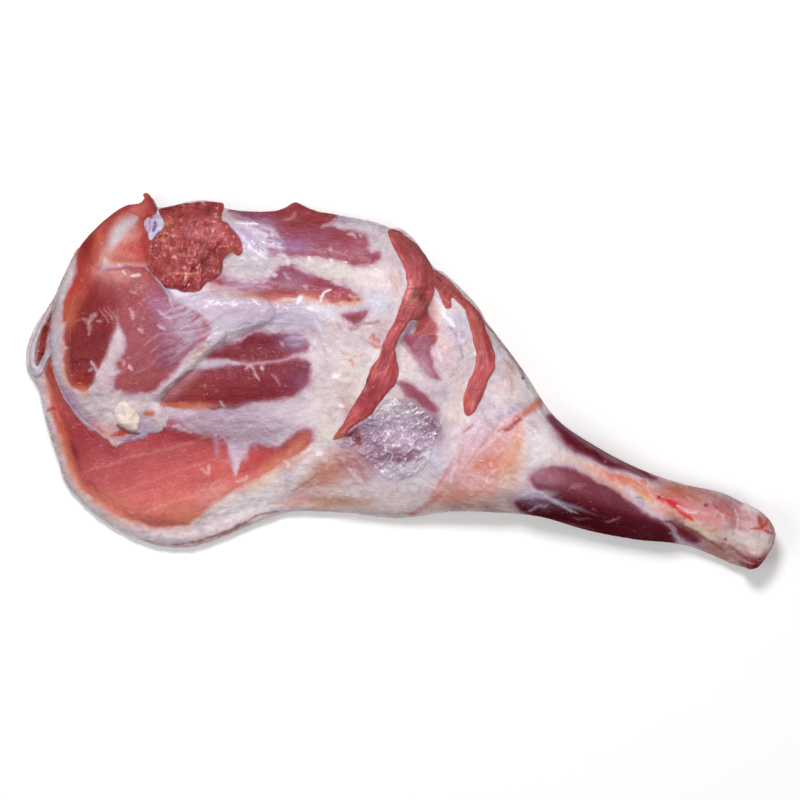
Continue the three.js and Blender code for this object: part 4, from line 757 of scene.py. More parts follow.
def draw(streaks, wx, wy, lean, fat, lift):
    """Draws thin lines with ragged edges over lean and fat, and raises or sinks the skin there."""
    for points, half, colour, strength, rise in streaks:
        line = smooth_line(points, False)
        pick = np.nonzero(around(line, wx, wy, half * 3 + 2))[0]
        if not len(pick):
            continue
        far, run, _, _ = nearest_on(line, wx[pick], wy[pick])
        ends = np.sqrt(np.clip(np.sin(np.pi * run / max(run.max(), 1e-6)), 0, 1))
        far = far / (0.35 + 0.65 * ends) + 0.5 * ripple(wx[pick], wy[pick], 1.2, 22)
        share = np.zeros(len(wx))
        share[pick] = strength * smoothstep(half * 1.5 + 0.7, half * 0.2, far)
        lay(lean, colour, share)
        lay(fat, colour, share)
        lift[pick] += min(rise, STRAND_RISE) * np.exp(-((far / (half + 0.6)) ** 2))


def dress(piece, muscles, lean_stains, streaks, fat_colour=FAT_COLOUR, fat_stains=FAT_STAINS,
          fringes=(TAN_FRINGE, MAUVE_FRINGE), veils=VEILS):
    """Paints a piece's rib side and shapes its low relief: muscles, fat, silver skin and strands."""
    co, up = read(piece, "co") / MM, read(piece, "normal")
    x, y = co[:, 0].copy(), co[:, 1].copy()
    # outlines are read at places that wander a little, which gives them natural borders
    wx = x + 0.9 * ripple(x, y, 13, 1) + 0.7 * ripple(x, y, 4.5, 2)
    wy = y + 0.9 * ripple(x, y, 13, 3) + 0.7 * ripple(x, y, 4.5, 4)
    far, run, hand, _ = nearest_on(smooth_line(FLOW, False), x, y)
    across = far * hand + 2.5 * ripple(x, y, 17, 21)
    strands = ripple(run / 6, across, 1.7, 11) + 0.6 * ripple(run / 4, across, 0.9, 12)
    clouds = ripple(wx, wy, 9, 13) + 0.7 * ripple(wx, wy, 4, 14)
    lean = np.tile(linear(LEAN_COLOUR), (len(x), 1))
    fat = np.tile(linear(fat_colour), (len(x), 1))
    grain = np.column_stack([run, across, np.full(len(x), 0.5)])
    veil = np.zeros(len(x))
    lift = np.zeros(len(x))

    edge, facing = lay_out(muscles, x, y, wx, wy, lean, grain, veil, lift)
    stain(lean, wx, wy, lean_stains)
    lean *= 1 + 0.06 * clouds[:, None] + 0.04 * ripple(wx, wy, 2.6, 16)[:, None]
    for outline, milk, ramp in veils:
        veil = np.maximum(veil, milk * smoothstep(-3, ramp, border_of(outline, wx, wy)[0]))
    paint_fat(fat, x, y, wx, wy, clouds, strands, fat_stains)

    # fringes along the borders of the muscles
    patchy = 0.5 + 0.5 * smoothstep(-0.7, 0.8, ripple(wx, wy, 7, 19))
    tan, mauve = smoothstep(0.1, 0.8, facing), smoothstep(0.3, -0.4, facing)
    kinds = zip(fringes, (tan, mauve), (2.6, 1.8), (3.6, 3.0), (0.7, 0.5))
    for fringe, share, inner, outer, strength in kinds:
        rim = strength * patchy * share * hump(edge, -0.9, np.where(edge > -0.9, inner, outer))
        lay(lean, fringe, rim)
        lay(fat, fringe, rim)
    draw(streaks, wx, wy, lean, fat, lift)

    # the sides are plain fat, but for the knuckle, tinted darker and warmer as painted shade where they
    # turn down, away from the lamps; rough grains of fat lie below the elbow, their crests painted pale
    # as highlights
    side = smoothstep(0.15, -0.35, up[:, 2] + 0.5 * smoothstep(60, 80, x))
    lay(fat, (204, 182, 178), side * smoothstep(214, 200, x))
    edge = edge * (1 - side) - 5 * side
    grains_and_glints = ripple(wx, wy, 1.7, 25) * np.exp(-((((x - 52) / 22) ** 2 + ((y + 58) / 14) ** 2) ** 2))
    lay(fat, (246, 218, 214), 0.55 * smoothstep(0.35, 0.9, grains_and_glints))

    soft = smoothstep(1, -1, edge)
    lumps = 0.34 * clouds + 0.12 * strands + 0.34 * ripple(wx, wy, 2.7, 17) + 0.14 * ripple(x, y, 1.6, 18)
    lift += (0.25 + 0.5 * soft) * lumps * (1 - side) + 0.3 * grains_and_glints
    co[:, 2] += lift * smoothstep(0.1, 0.5, up[:, 2])
    place(piece, co)
    write(piece, "edge", "FLOAT", edge)
    write(piece, "lean", "FLOAT_COLOR", lean)
    write(piece, "fat", "FLOAT_COLOR", fat)
    write(piece, "grain", "FLOAT_VECTOR", grain)
    write(piece, "veil", "FLOAT", veil * (1 - side))


class Wire:
    """One output of a material's node tree, on which Python arithmetic adds Math nodes."""

    def __init__(self, tree, socket=None):
        self.tree = tree
        self.socket = socket

    def node(self, kind, settings=None, inputs=None, output=0):
        """Adds a node: its settings first, then the values or links of its sockets."""
        family = "" if kind.startswith(("Geometry", "Function", "NodeGroup")) else "ShaderNode"
        made = self.tree.nodes.new(family + kind)
        for name, value in (settings or {}).items():
            setattr(made, name, value)
        for key, value in (inputs or {}).items():
            if isinstance(value, Wire):
                self.tree.links.new(value.socket, made.inputs[key])
            else:
                made.inputs[key].default_value = value
        return Wire(self.tree, made.outputs[output])

    def maths(self, operation, *values):
        return self.node("Math", {"operation": operation}, dict(enumerate(values)))

    def __add__(self, other):
        return self.maths("ADD", self, other)

    def __sub__(self, other):
        return self.maths("SUBTRACT", self, other)

    def __mul__(self, other):
        return self.maths("MULTIPLY", self, other)

    def __rsub__(self, other):
        return self.maths("SUBTRACT", other, self)

    __radd__ = __add__
    __rmul__ = __mul__

    def between(self, low, high):
        """0 below low, 1 above high, and smooth between them."""
        inputs = {"Value": self, "From Min": low, "From Max": high}
        return self.node("MapRange", {"interpolation_type": "SMOOTHSTEP"}, inputs)

    def mix(self, first, second):
        """The first colour where this value is 0 and the second where it is 1."""
        return self.node("Mix", {"data_type": "RGBA"}, {0: self, 6: first, 7: second}, 2)

    def times(self, factor):
        """A vector, each part multiplied by its own factor."""
        return self.node("VectorMath", {"operation": "MULTIPLY"}, {0: self, 1: factor})

    def plus(self, other):
        return self.node("VectorMath", {"operation": "ADD"}, {0: self, 1: other})

    def noise(self, scale, detail=2.0, roughness=0.5):
        inputs = {"Vector": self, "Scale": scale, "Detail": detail, "Roughness": roughness}
        return self.node("TexNoise", None, inputs)

    def attribute(self, name, output):
        return self.node("Attribute", {"attribute_name": name}, output=output)


COLOUR, VECTOR, VALUE = 0, 1, 2  # outputs of an Attribute node
WET = {
    "IOR": 1.45,
    "Specular IOR Level": 0.26,
    "Coat Roughness": 0.1,
    "Coat IOR": 1.4,
    "Subsurface Weight": 0.15,
    "Subsurface Radius": (1.0, 0.4, 0.3),
    "Subsurface Scale": 0.002,
}


def rgba(colour):
    return (*linear(colour), 1.0)


def flesh(name, coarse=1.0, wet=0.8, bumps=0.8, settings=WET):
    """Raw flesh: lean where the edge value is above 0 and fat below it, both with their grain.

    Coarse is the width of its fibres. Wet patches are smoother, so that the bumps in them glint.
    """
    material = bpy.data.materials.new(name)
    material.use_nodes = True
    wire = Wire(material.node_tree)
    at = wire.node("TexCoord", output=3)
    edge, veil = wire.attribute("edge", VALUE), wire.attribute("veil", VALUE)
    lean, fat = wire.attribute("lean", COLOUR), wire.attribute("fat", COLOUR)
    bend = at.node("TexNoise", None, {"Vector": at, "Scale": 140.0, "Detail": 2.0}, 1)
    along = wire.attribute("grain", VECTOR)
    torn = along.node("SeparateXYZ", None, {0: along}, 2)
    along = along.plus(bend.times((6.0, 2.6, 0.0)))
    fibres = along.times((0.09, 0.8 / coarse, 0.0)).noise(1.0, 3.0, 0.6)
    threads = along.times((0.11, 0.45 / coarse, 0.0)).noise(1.0, 3.0, 0.6)
    lumps = at.noise(210.0, 3.0, 0.55)
    fine = at.noise(620.0, 2.0, 0.55)
    drift = at.noise(105.0, 2.0)
    # muscles fray into the fat, more so where they were torn
    frayed = edge + 0.9 + ((fibres - 0.5) * 6.0 + (lumps - 0.5) * 6.0) * torn + (fine - 0.5) * 1.4
    is_lean = (frayed * (drift * 1.5 - 0.1)).between(-1.0, 1.0)
    # lean has dark fibres, paler lumps and threads, and a few pale specks that are painted highlights,
    # glints on the wet surface; fat has lumps and white threads
    lean = (fibres * 2.0 - 0.5).mix(lean.times((0.84, 0.7, 0.7)), lean.times((1.0, 0.96, 0.95)))
    lean = (lumps.between(0.42, 0.64) * 0.5).mix(lean, lean.times((1.12, 1.24, 1.24)))
    lean = (fine.between(0.56, 0.72) * 0.3).mix(lean, lean.times((1.3, 1.9, 1.9)))
    glint_specks = at.noise(430.0, 1.0).between(0.62, 0.72)
    lean = (glint_specks * drift.between(0.45, 0.65) * 0.25).mix(lean, rgba((220, 170, 172)))
    fat = (lumps.between(0.44, 0.66) * 0.6).mix(fat, fat.times((0.92, 0.84, 0.88)))
    fat = (threads.between(0.56, 0.68) * 0.2).mix(fat, rgba((238, 230, 232)))
    # silver skin lies over both, thicker along its threads
    colour = is_lean.mix(fat, lean)
    film = veil * (threads.between(0.36, 0.64) * 1.3 + 0.25) * (lumps * 0.8 + 0.6)
    colour = film.mix(colour, rgba(MILK_COLOUR))
    height = fibres * (is_lean * 0.3 + 0.1) * coarse + fine * 0.4 + lumps * (1.2 - is_lean * 0.7)
    bump = wire.node("Bump", None, {"Strength": bumps, "Distance": 0.0012, "Height": height})
    damp = at.noise(330.0, 1.0).between(0.38, 0.56) * wet * (1 - is_lean * 0.6)
    varied = {
        "Base Color": colour,
        "Roughness": 0.34 - damp * 0.2 - veil * 0.08,
        "Coat Weight": veil * 0.7,
        "Normal": bump,
    }
    finish(material, wire, settings, varied)
    return material


def finish(material, wire, settings, varied):
    """Sets the constants of a material's shader, and links what varies over the surface."""
    shader = material.node_tree.nodes["Principled BSDF"]
    for name, value in settings.items():
        shader.inputs[name].default_value = value
    for name, value in varied.items():
        wire.tree.links.new(value.socket, shader.inputs[name])


def keep(piece, material, node=None):
    """Finishes a piece: its material, the body it rides on and the solid it stands for."""
    piece.data.materials.clear()
    piece.data.materials.append(material)
    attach(piece, "root")
    if node:
        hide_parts(node)


meat = fine_copy("meat", MEAT_VOXEL)
soften(meat, SMOOTHING_ROUNDS)
under = meat.vertex_groups.new(name="under")
under.add(np.nonzero(read(meat, "normal")[:, 2] < UNDER_TILT)[0].tolist(), 1.0, "REPLACE")
thin = meat.modifiers.new("thin", "DECIMATE")
thin.ratio = UNDER_SHARE
thin.vertex_group = under.name
settle(meat)
# the small bump on the front edge stands out a little more than in the solid, and its right side less
meat_points = read(meat, "co") / MM
bump = 2.2 * hump(meat_points[:, 0], -66.5, 4.5) - 1.3 * hump(meat_points[:, 0], -53, 7)
meat_points[:, 1] += smoothstep(96, 106, meat_points[:, 1]) * bump
place(meat, meat_points)
dress(meat, MUSCLES, LEAN_STAINS, STREAKS)
keep(meat, flesh("raw_meat"), "meat")


# ---------------------------------------------------------------- cover fat
# The sheet of fat on the outer side of the shoulder, on which the whole leg lies.
# It shows as a white rim round the flat muscle sheet.

BULGE = 2.2  # mm that the rim stands out further at its left end

cover = fine_copy("cover_fat", 1.4 * MM)
soften(cover, 8, 0.35)
cover_points = read(cover, "co") / MM
bulge = smoothstep(-200, -220, cover_points[:, 0]) * hump(cover_points[:, 1], 20, 22)
place(cover, cover_points - np.outer(bulge, (BULGE, 0, 0)))
dress(cover, {}, [], STREAKS)
keep(cover, flesh("cover_fat_flesh"), "cover_fat")


# ---------------------------------------------------------------- knuckle
# The end of the shank bone, with its cream gristle cap and blood where it was cut.

knuckle = fine_copy("shank_bone", 0.8 * MM)
soften(knuckle, 14, 0.5)
dress(knuckle, {}, [], STREAKS)
keep(knuckle, flesh("knuckle_gristle"), "shank_bone")


# ---------------------------------------------------------------- blade muscle
# The muscle in the hollow of the shoulder blade with the white tissue round it. It lies on
# the flat muscle sheet, and its white rim at the lower right stands off the dark muscles.

BLADE_OUTLINE = [
    (-202.5, 84), (-207, 78), (-213, 66), (-217, 57), (-219.5, 50), (-221, 40), (-221, 28), (-220.5, 16),
    (-218.5, 7), (-215.5, -2), (-212, -10), (-206.5, -19), (-200, -26.3), (-193, -32), (-188, -34.8),
    (-184.5, -37.5), (-182, -41), (-179, -42), (-176, -40.4), (-173.5, -38.4), (-168, -38), (-162, -36.3),
    (-158, -33.5), (-153, -32.3), (-149, -30.5), (-146.5, -28), (-145, -24), (-147, -18), (-150.5, -14.5),
    (-153, -12), (-149, -8), (-145, -4), (-140, -0.5), (-136, 1.5), (-133, 4.5), (-129, 6.5), (-127, 10),
    (-124, 12.5), (-121.5, 17), (-117, 20), (-113, 23.5), (-109, 25), (-108, 29), (-114, 36), (-124, 44),
    (-134, 50), (-142, 54), (-148, 61), (-153, 67), (-158, 70.5), (-166, 72), (-176, 71.5), (-186, 70),
    (-192, 73), (-197, 78)]


RAY_TOP = 0.2  # m, above the whole leg
GAP_ROUNDS = 12  # cells that the skin's height is carried on past its rim
BARE_HEIGHT = 8.0  # beyond that


class Ground:
    """The skin of finished pieces, on which thinner pieces are laid."""

    def __init__(self, pieces):
        points, faces = [], []
        for piece in pieces:
            start = len(points)
            points.extend(tuple(v.co) for v in piece.data.vertices)
            faces.extend([start + i for i in p.vertices] for p in piece.data.polygons)
        self.tree = BVHTree.FromPolygons(points, faces)

    def height(self, x, y):
        """The height of the skin at each place of a grid, filled in past its rim."""
        found = np.full(x.shape, np.nan)
        down = Vector((0, 0, -1))
        for i, (px, py) in enumerate(zip(x.ravel(), y.ravel())):
            hit = self.tree.ray_cast(Vector((px * MM, py * MM, RAY_TOP)), down)
            if hit[0]:
                found.flat[i] = hit[0].z / MM
        for _ in range(GAP_ROUNDS):
            gap = np.isnan(found)
            if not gap.any():
                break
            padded = np.pad(found, 1, constant_values=np.nan)
            near = np.stack([padded[:-2, 1:-1], padded[2:, 1:-1], padded[1:-1, :-2], padded[1:-1, 2:]])
            known = np.isfinite(near).sum(0)
            filled = np.where(known, np.nansum(near, 0) / np.maximum(known, 1), np.nan)
            found[gap] = filled[gap]
        return np.where(np.isnan(found), BARE_HEIGHT, found)


def laid(name, outline, ground, thick, rim, step=0.6, even=3, relief=None, sink=1.5, wobble=0.5, tuck=0.0,
         bridge=None):
    """A thin closed piece that lies on the ground: its top stands thick above it, down to its rim.

    Step is the size of its faces, even the rounds that smooth the ground under it, and sink how far
    its foot goes into the ground. A rim that is tucked in runs out below the ground's skin, so no
    edge shows there. A piece with a bridge lies level over the hollows further than that from its rim.
    """
    line = smooth_line(outline, True)
    low, high = line.min(0) - 2 * step, line.max(0) + 2 * step
    x, y = np.meshgrid(np.arange(low[0], high[0], step), np.arange(low[1], high[1], step))
    wx, wy = x + wobble * ripple(x, y, 4, 51), y + wobble * ripple(x, y, 4, 52)
    d = border_of(outline, wx.ravel(), wy.ravel())[0].reshape(x.shape)
    base = ground.height(x, y)
    bare = base
    for _ in range(even):
        padded = np.pad(base, 1, mode="edge")
        base = (padded[:-2, 1:-1] + padded[2:, 1:-1] + padded[1:-1, :-2] + padded[1:-1, 2:]) / 4
        if bridge:
            base = np.maximum(base, bare - 0.1)
    if bridge:
        base = bare + (base - bare) * smoothstep(0, bridge, d)
    slope_y, slope_x = np.gradient(d, step)
    close = np.abs(d) < 0.75 * step  # the points next to the outline move onto it
    x = np.where(close, x - slope_x * d, x)
    y = np.where(close, y - slope_y * d, y)
    d = np.where(close, 0, d)
    stand = thick(x, y) if callable(thick) else thick
    tuck = tuck(x, y) if callable(tuck) else tuck
    dome = np.sqrt(1 - (1 - np.clip(d / rim, 0, 1)) ** 2)
    top = base + stand * dome - tuck * smoothstep(1.8, 0, d)
    if relief:
        top = top + relief(x, y) * np.clip(d / rim, 0, 1)
    keep_point = d >= 0
    keep_cell = keep_point[:-1, :-1] & keep_point[1:, :-1] & keep_point[:-1, 1:] & keep_point[1:, 1:]
    index = np.arange(x.size).reshape(x.shape)
    j, i = np.nonzero(keep_cell)
    cells = np.column_stack([index[j, i], index[j, i + 1], index[j + 1, i + 1], index[j + 1, i]])
    used, cells = np.unique(cells, return_inverse=True)
    cells = cells.reshape(-1, 4)
    upper = np.column_stack([x.ravel()[used], y.ravel()[used], top.ravel()[used]])
    lower = np.column_stack([x.ravel()[used], y.ravel()[used], np.maximum(base.ravel()[used] - sink, 0.5)])
    count = len(used)
    sides = np.vstack([cells[:, [k, (k + 1) % 4]] for k in range(4)])
    pairs = {(a, b) for a, b in sides.tolist()}
    walls = [(a, a + count, b + count, b) for a, b in pairs if (b, a) not in pairs]
    faces = cells.tolist() + (cells[:, ::-1] + count).tolist() + sorted(walls)
    mesh = bpy.data.meshes.new(name)
    mesh.from_pydata((np.vstack([upper, lower]) * MM).tolist(), [], faces)
    mesh.shade_smooth()
    piece = bpy.data.objects.new(name, mesh)
    bpy.context.scene.collection.objects.link(piece)
    return piece


def blade_thickness(x, y):
    """Thick at its lower rim, and thinning out into the silver skin and the fat at its right end."""
    to_skin = smoothstep(0, 14, (-110 - x) * 0.58 + (27 - y) * 0.81 + 3)
    to_fat = smoothstep(0, 7, (-146 - x) * 0.9 + (y + 20) * 0.6 + 1)
    return 0.25 + 1.7 * np.minimum(to_skin, np.where(y < -8, to_fat, 1))


def blade_tuck(x, y):
    """Its rim stands free along the lower right alone."""
    return 0.9 * smoothstep(26, 34, y) * smoothstep(-206, -200, x)


gristle_solid = fine_copy("blade_cartilage", 0.8 * MM)
soften(gristle_solid, 10)
ground = Ground([meat, cover, gristle_solid])
blade = laid("blade_muscle", BLADE_OUTLINE, ground, blade_thickness, 1.8, 0.65, 90, tuck=blade_tuck,
             bridge=6.0)
BLADE_MUSCLES = {name: values for name, values in MUSCLES.items() if name != "flat_sheet"}
dress(blade, BLADE_MUSCLES, LEAN_STAINS, STREAKS)
keep(blade, flesh("blade_flesh"))


# ---------------------------------------------------------------- blade gristle
# The smooth grey-blue rim of gristle along the top of the shoulder blade. It grew on the bone,
# and runs on into the white tissue round the muscle in the blade's hollow.

GRISTLE_BAND = [
    (-203.5, 84), (-208, 76), *BLADE_OUTLINE[2:12], (-200, -27), (-194, -32), (-189, -30), (-190, -24),
    (-195, -17), (-199, -9), (-202, -1), (-204, 8), (-205, 20), (-205.5, 32), (-205.5, 42), (-203, 52),
    (-199, 60), (-195, 68), (-194, 76), (-197, 82)]

ground = Ground([meat, cover, gristle_solid, blade])
gristle = laid("blade_gristle", GRISTLE_BAND, ground, 0.6, 6.0, 0.6, 60, sink=6.0, wobble=0.2, tuck=0.2,
               bridge=6.0)
bpy.data.objects.remove(gristle_solid)
dress(gristle, BLADE_MUSCLES, LEAN_STAINS, STREAKS)
keep(gristle, flesh("gristle_blue", 1.0, 0.45, 0.35), "blade_cartilage")


# ---------------------------------------------------------------- rim and sleeve
# Thin skins of fat that run on over two edges: from the flat muscle sheet down to the rim of
# cover fat, and from the shank's end over to its knuckle. The butcher's knife left both whole.

RIM_LINE = [
    (-223, 40), (-226.5, 31), (-228.5, 22), (-229, 13), (-227.5, 4), (-224, -5), (-218.5, -25),
    (-211.5, -46), (-205.5, -62), (-192, -76), (-173, -88.5), (-152, -96), (-134, -97), (-115, -90.5),
    (-96, -82.5), (-71, -75.5), (-50, -76), (-33, -76.5), (-16, -78.5), (0, -79), (16, -78), (28, -78)]
RIM_HALVES = [2.5, 3.5, 4, 4, 4.5, 5, 5.5, 6, 6.5, 7, 8, 8, 8, 8, 7.5, 7, 6.5, 6, 6, 5.5, 4.5, 3]
SLEEVE_OUTLINE = [
    (201.5, -76), (205, -72.4), (212, -75), (219, -79.3), (224, -85), (225.5, -95), (224.5, -105),
    (222, -114), (219, -117), (212.5, -116.4), (205, -113), (201, -104), (200, -94), (200.5, -84)]


def ribbon(line, halves):
    """The outline of a band that runs on both sides of a line."""
    p = np.array(line, float)
    way = np.gradient(p, axis=0)
    across = np.column_stack([-way[:, 1], way[:, 0]]) / np.hypot(*way.T)[:, None]
    out = across * np.array(halves)[:, None]
    return [tuple(q) for q in np.vstack([p + out, (p - out)[::-1]])]


ground = Ground([meat, cover, knuckle, blade, gristle])
skins = []
for name, outline, rounds in (
    ("rim_skin", ribbon(RIM_LINE, RIM_HALVES), 26), ("knuckle_sleeve", SLEEVE_OUTLINE, 10),
):
    skin = laid(name, outline, ground, 0.5, 3.0, 0.7, rounds, sink=2.5, wobble=0.3, tuck=0.6, bridge=3.5)
    dress(skin, MUSCLES, LEAN_STAINS, STREAKS)
    keep(skin, flesh(name + "_flesh"))
    skins.append(skin)


# ---------------------------------------------------------------- torn muscle
# A muscle cut across its coarse grain, with ragged edges, on the front edge of the shoulder.

TORN_OUTLINE = [
    (-152.5, 108.3), (-146, 110.3), (-140, 111.7), (-130, 113), (-122, 113.5), (-114, 113), (-112, 111),
    (-112, 103), (-111.5, 100.5), (-108, 98.5), (-105, 95), (-101.5, 91), (-98.8, 86), (-97.8, 81),
    (-99.5, 78.5), (-102, 78), (-105, 79.3), (-108, 77.5), (-110.5, 74.5), (-111.5, 70), (-113, 66),
    (-117, 63), (-121, 60.5), (-124, 57), (-127, 55.5), (-133, 55), (-140, 56.5), (-146, 57.5),
    (-149, 60), (-153, 65), (-156.5, 68.5), (-158, 72), (-158, 80), (-157.5, 87), (-155, 89), (-151, 92),
    (-148, 96), (-148.5, 101), (-151, 105)]
TORN = {"torn": (TORN_OUTLINE, (160, 62, 64), 78, 0.0, 0.0, 0.3)}
TORN_STAINS = [
    (-132, 104, 22, 7, 2, (166, 74, 76), 0.7), (-120, 92, 12, 8, -30, (160, 66, 68), 0.6),
    (-104, 80, 6, 3, 30, (206, 100, 78), 0.8), (-112, 108, 3, 8, 0, (186, 76, 70), 0.6),
    (-135, 58, 14, 4, 0, (142, 30, 34), 0.8), (-120, 66, 9, 6, 40, (152, 48, 50), 0.7),
    (-140, 84, 18, 8, 0, (162, 70, 66), 0.6), (-146, 96, 6, 8, 0, (188, 108, 88), 0.6),
    (-152, 74, 5, 8, 0, (172, 72, 66), 0.5), (-140, 72, 14, 6, 0, (158, 68, 70), 0.6),
    (-124, 76, 8, 9, 0, (150, 62, 70), 0.6), (-106, 88, 6, 8, 0, (168, 62, 62), 0.5),
    # a paler patch of painted highlight, for the glints on the torn muscle's upper part
    (-119, 94, 13, 7, 0, (206, 124, 132), 0.5),
]
TORN_STREAKS = [
    # the dark red lines lie in the creases and cracks, darkened further as painted shade over the sunk
    # relief
    ([(-155, 88.5), (-148, 90), (-138, 89), (-128, 88), (-118, 85), (-113, 86)],
     0.6, (126, 22, 20), 0.6, -0.5),
    ([(-112, 86), (-116, 82), (-121, 77), (-126, 72), (-131, 67.5)], 0.5, (120, 12, 14), 0.7, -0.6),
    ([(-112, 64), (-118, 65), (-123, 64)], 0.8, (124, 30, 34), 0.6, -0.8),
    ([(-136, 57), (-133, 60), (-130, 63)], 1.0, (112, 12, 22), 0.85, -0.8),
    ([(-142, 66.5), (-134, 66), (-127, 66)], 0.5, (206, 130, 110), 0.7, 0.4),
    ([(-138, 77.5), (-134, 78), (-130, 77)], 0.8, (184, 120, 116), 0.6, 0.3),
    ([(-126, 99), (-121, 97.5), (-117, 98)], 0.8, (120, 36, 40), 0.5, -0.8),
    ([(-147, 96), (-142, 93), (-138, 90)], 0.9, (150, 48, 44), 0.5, -0.5),
]


def torn_relief(x, y):
    """Bundles of coarse fibre, deeper below the crease than above it."""
    low = smoothstep(92, 86, y)
    warp = x + 2.5 * ripple(x, y, 12, 31)
    bundles = 1 - 2.4 * np.abs(ripple(warp, y / 2.2, 2.6, 32))
    crumbs = ripple(x, y, 1.8, 33) + 0.6 * ripple(x, y, 1.0, 34)
    return low * (0.7 * bundles + 0.25 * crumbs) + (1 - low) * (0.6 * crumbs + 0.7 * ripple(x, y, 4, 35))


def shade(piece, name, factor, colour, share):
    """Paints light and shade into a piece's stored colours: makes them lighter or darker, and lays a colour
    over some of them.
    """
    values = np.empty(len(piece.data.vertices) * 4)
    piece.data.attributes[name].data.foreach_get("color", values)
    values = values.reshape(-1, 4)
    tints = values[:, :3] * factor[:, None]
    lay(tints, colour, share)
    values[:, :3] = tints
    piece.data.attributes[name].data.foreach_set("color", values.ravel())


torn = laid("torn_muscle", TORN_OUTLINE, ground, 2.0, 1.6, 0.5, 3, torn_relief)
RED_FRINGES = ((196, 96, 84), (170, 70, 70))
dress(torn, TORN, TORN_STAINS, TORN_STREAKS, (196, 110, 92), [], RED_FRINGES, [])
torn_points = read(torn, "co") / MM
torn_bumps = torn_relief(torn_points[:, 0], torn_points[:, 1])
torn_glints = torn_bumps + 0.7 * ripple(torn_points[:, 0], torn_points[:, 1], 0.9, 36)
# painted shade: the torn muscle is darker in the hollows between its fibre bundles; painted highlights:
# light pink glints on their crests
shade(torn, "lean", 1 + 0.3 * np.clip(torn_bumps, -1, 0.4), (240, 180, 182),
      0.6 * smoothstep(0.7, 1.1, torn_glints))
keep(torn, flesh("torn_grain", 1.9, 1.9, 1.3, {**WET, "Specular IOR Level": 0.6}))


# ---------------------------------------------------------------- straps
# Two narrow straps of muscle that cross the leg: the breast strap over the shoulder joint,
# and the shorter one along the front edge towards the elbow.

BREAST_STRAP = [
    (-7.5, 95), (-7.3, 90), (-5, 84), (-1, 77), (2, 70), (3.8, 63), (3, 57), (1, 50), (-1, 44), (-4, 37),
    (-8, 29), (-11, 22), (-14, 14), (-18, 9), (-20, 4), (-22, -2), (-25.5, -9), (-30, -16), (-33, -22),
    (-36, -27), (-40, -32), (-42.5, -36.5), (-39, -36), (-35, -34), (-30, -29), (-25, -25.5), (-19, -22),
    (-15, -16), (-10, -10), (-6, -5.5), (-3, -2), (-1.5, 4), (-1.8, 10), (-3, 18), (-1.5, 25), (2, 31),
    (6, 37), (11, 38), (15, 42), (18, 48), (20.5, 54), (21.3, 62), (20.6, 70), (18, 75.5), (14, 81.5),
    (9, 87), (3, 92), (-3, 95.2)]
BREAST_RUN = [
    (-2, 96), (7, 80), (12, 66), (11, 54), (4, 40), (-5, 24), (-10, 8), (-16, -6), (-25, -20), (-42, -36)]
BREAST_STAINS = [
    (4, 86, 10, 4, -50, (160, 82, 78), 0.7), (12, 82, 12, 3, -52, (150, 92, 86), 0.7),
    (0, 80, 3, 10, 20, (168, 60, 62), 0.6), (16, 64, 4, 10, 0, (158, 66, 58), 0.7),
    (4, 60, 2, 12, 5, (200, 112, 100), 0.6), (12, 50, 8, 6, 0, (168, 64, 62), 0.6),
    (17, 46, 3, 6, 20, (120, 44, 46), 0.6), (0, 36, 5, 10, 30, (178, 76, 84), 0.6),
    (-9, 12, 6, 14, 15, (166, 62, 72), 0.6), (-4, 2, 2, 14, 10, (192, 80, 70), 0.6),
    (-18, -8, 8, 18, 32, (150, 46, 58), 0.8), (-24, -14, 3, 10, 35, (148, 34, 52), 0.6),
    (-26, -24, 8, 3, 40, (180, 72, 70), 0.6), (-39, -35, 4, 2, 40, (216, 120, 92), 0.85),
    (-18, 6, 2, 5, 30, (206, 96, 80), 0.5), (6, 53, 5, 8, 20, (226, 150, 148), 0.6),
]
ELBOW_STRAP = [
    (20.5, 70), (25, 67.5), (30, 64), (35, 59), (40, 53.5), (45, 48), (50, 42.5), (52, 38), (53, 33),
    (55.5, 28), (57.5, 22), (58.8, 14), (58.5, 7), (55.5, 2), (54, -2), (52, -8), (49, -14), (46.5, -19),
    (43, -22), (40.3, -21), (39.2, -16), (39.4, -10), (41, -4), (43.5, 2), (46.5, 9), (46.8, 17),
    (45, 25), (43, 34), (41, 41), (40, 44), (36, 48), (33, 51.5), (31.5, 50), (31.5, 46), (28.5, 44.8),
    (26.5, 48), (24, 54), (21.5, 58.5), (20.5, 64)]
ELBOW_RUN = [(20, 68), (32, 56), (42, 46), (48, 36), (51, 24), (53, 12), (49, 0), (45, -10), (42, -22)]
ELBOW_STAINS = [
    (24, 62, 4, 5, 0, (120, 50, 50), 0.6), (30, 52, 3, 8, 20, (190, 84, 78), 0.6),
    (38, 52, 12, 2.5, -45, (178, 74, 68), 0.5), (34, 60, 12, 1.8, -45, (206, 120, 106), 0.6),
    (46, 32, 4, 9, 10, (196, 100, 88), 0.7), (54, 22, 2.5, 12, 10, (176, 50, 58), 0.7),
    (48, 14, 2, 10, 0, (208, 116, 92), 0.6), (50, 4, 4, 8, 30, (176, 72, 76), 0.5),
    (41.5, -12, 2, 10, 0, (206, 104, 82), 0.8), (47, -8, 4, 8, 30, (164, 62, 72), 0.6),
    (43, -19, 3, 3, 0, (170, 66, 74), 0.6),
]


STRAP_THICK = 1.1


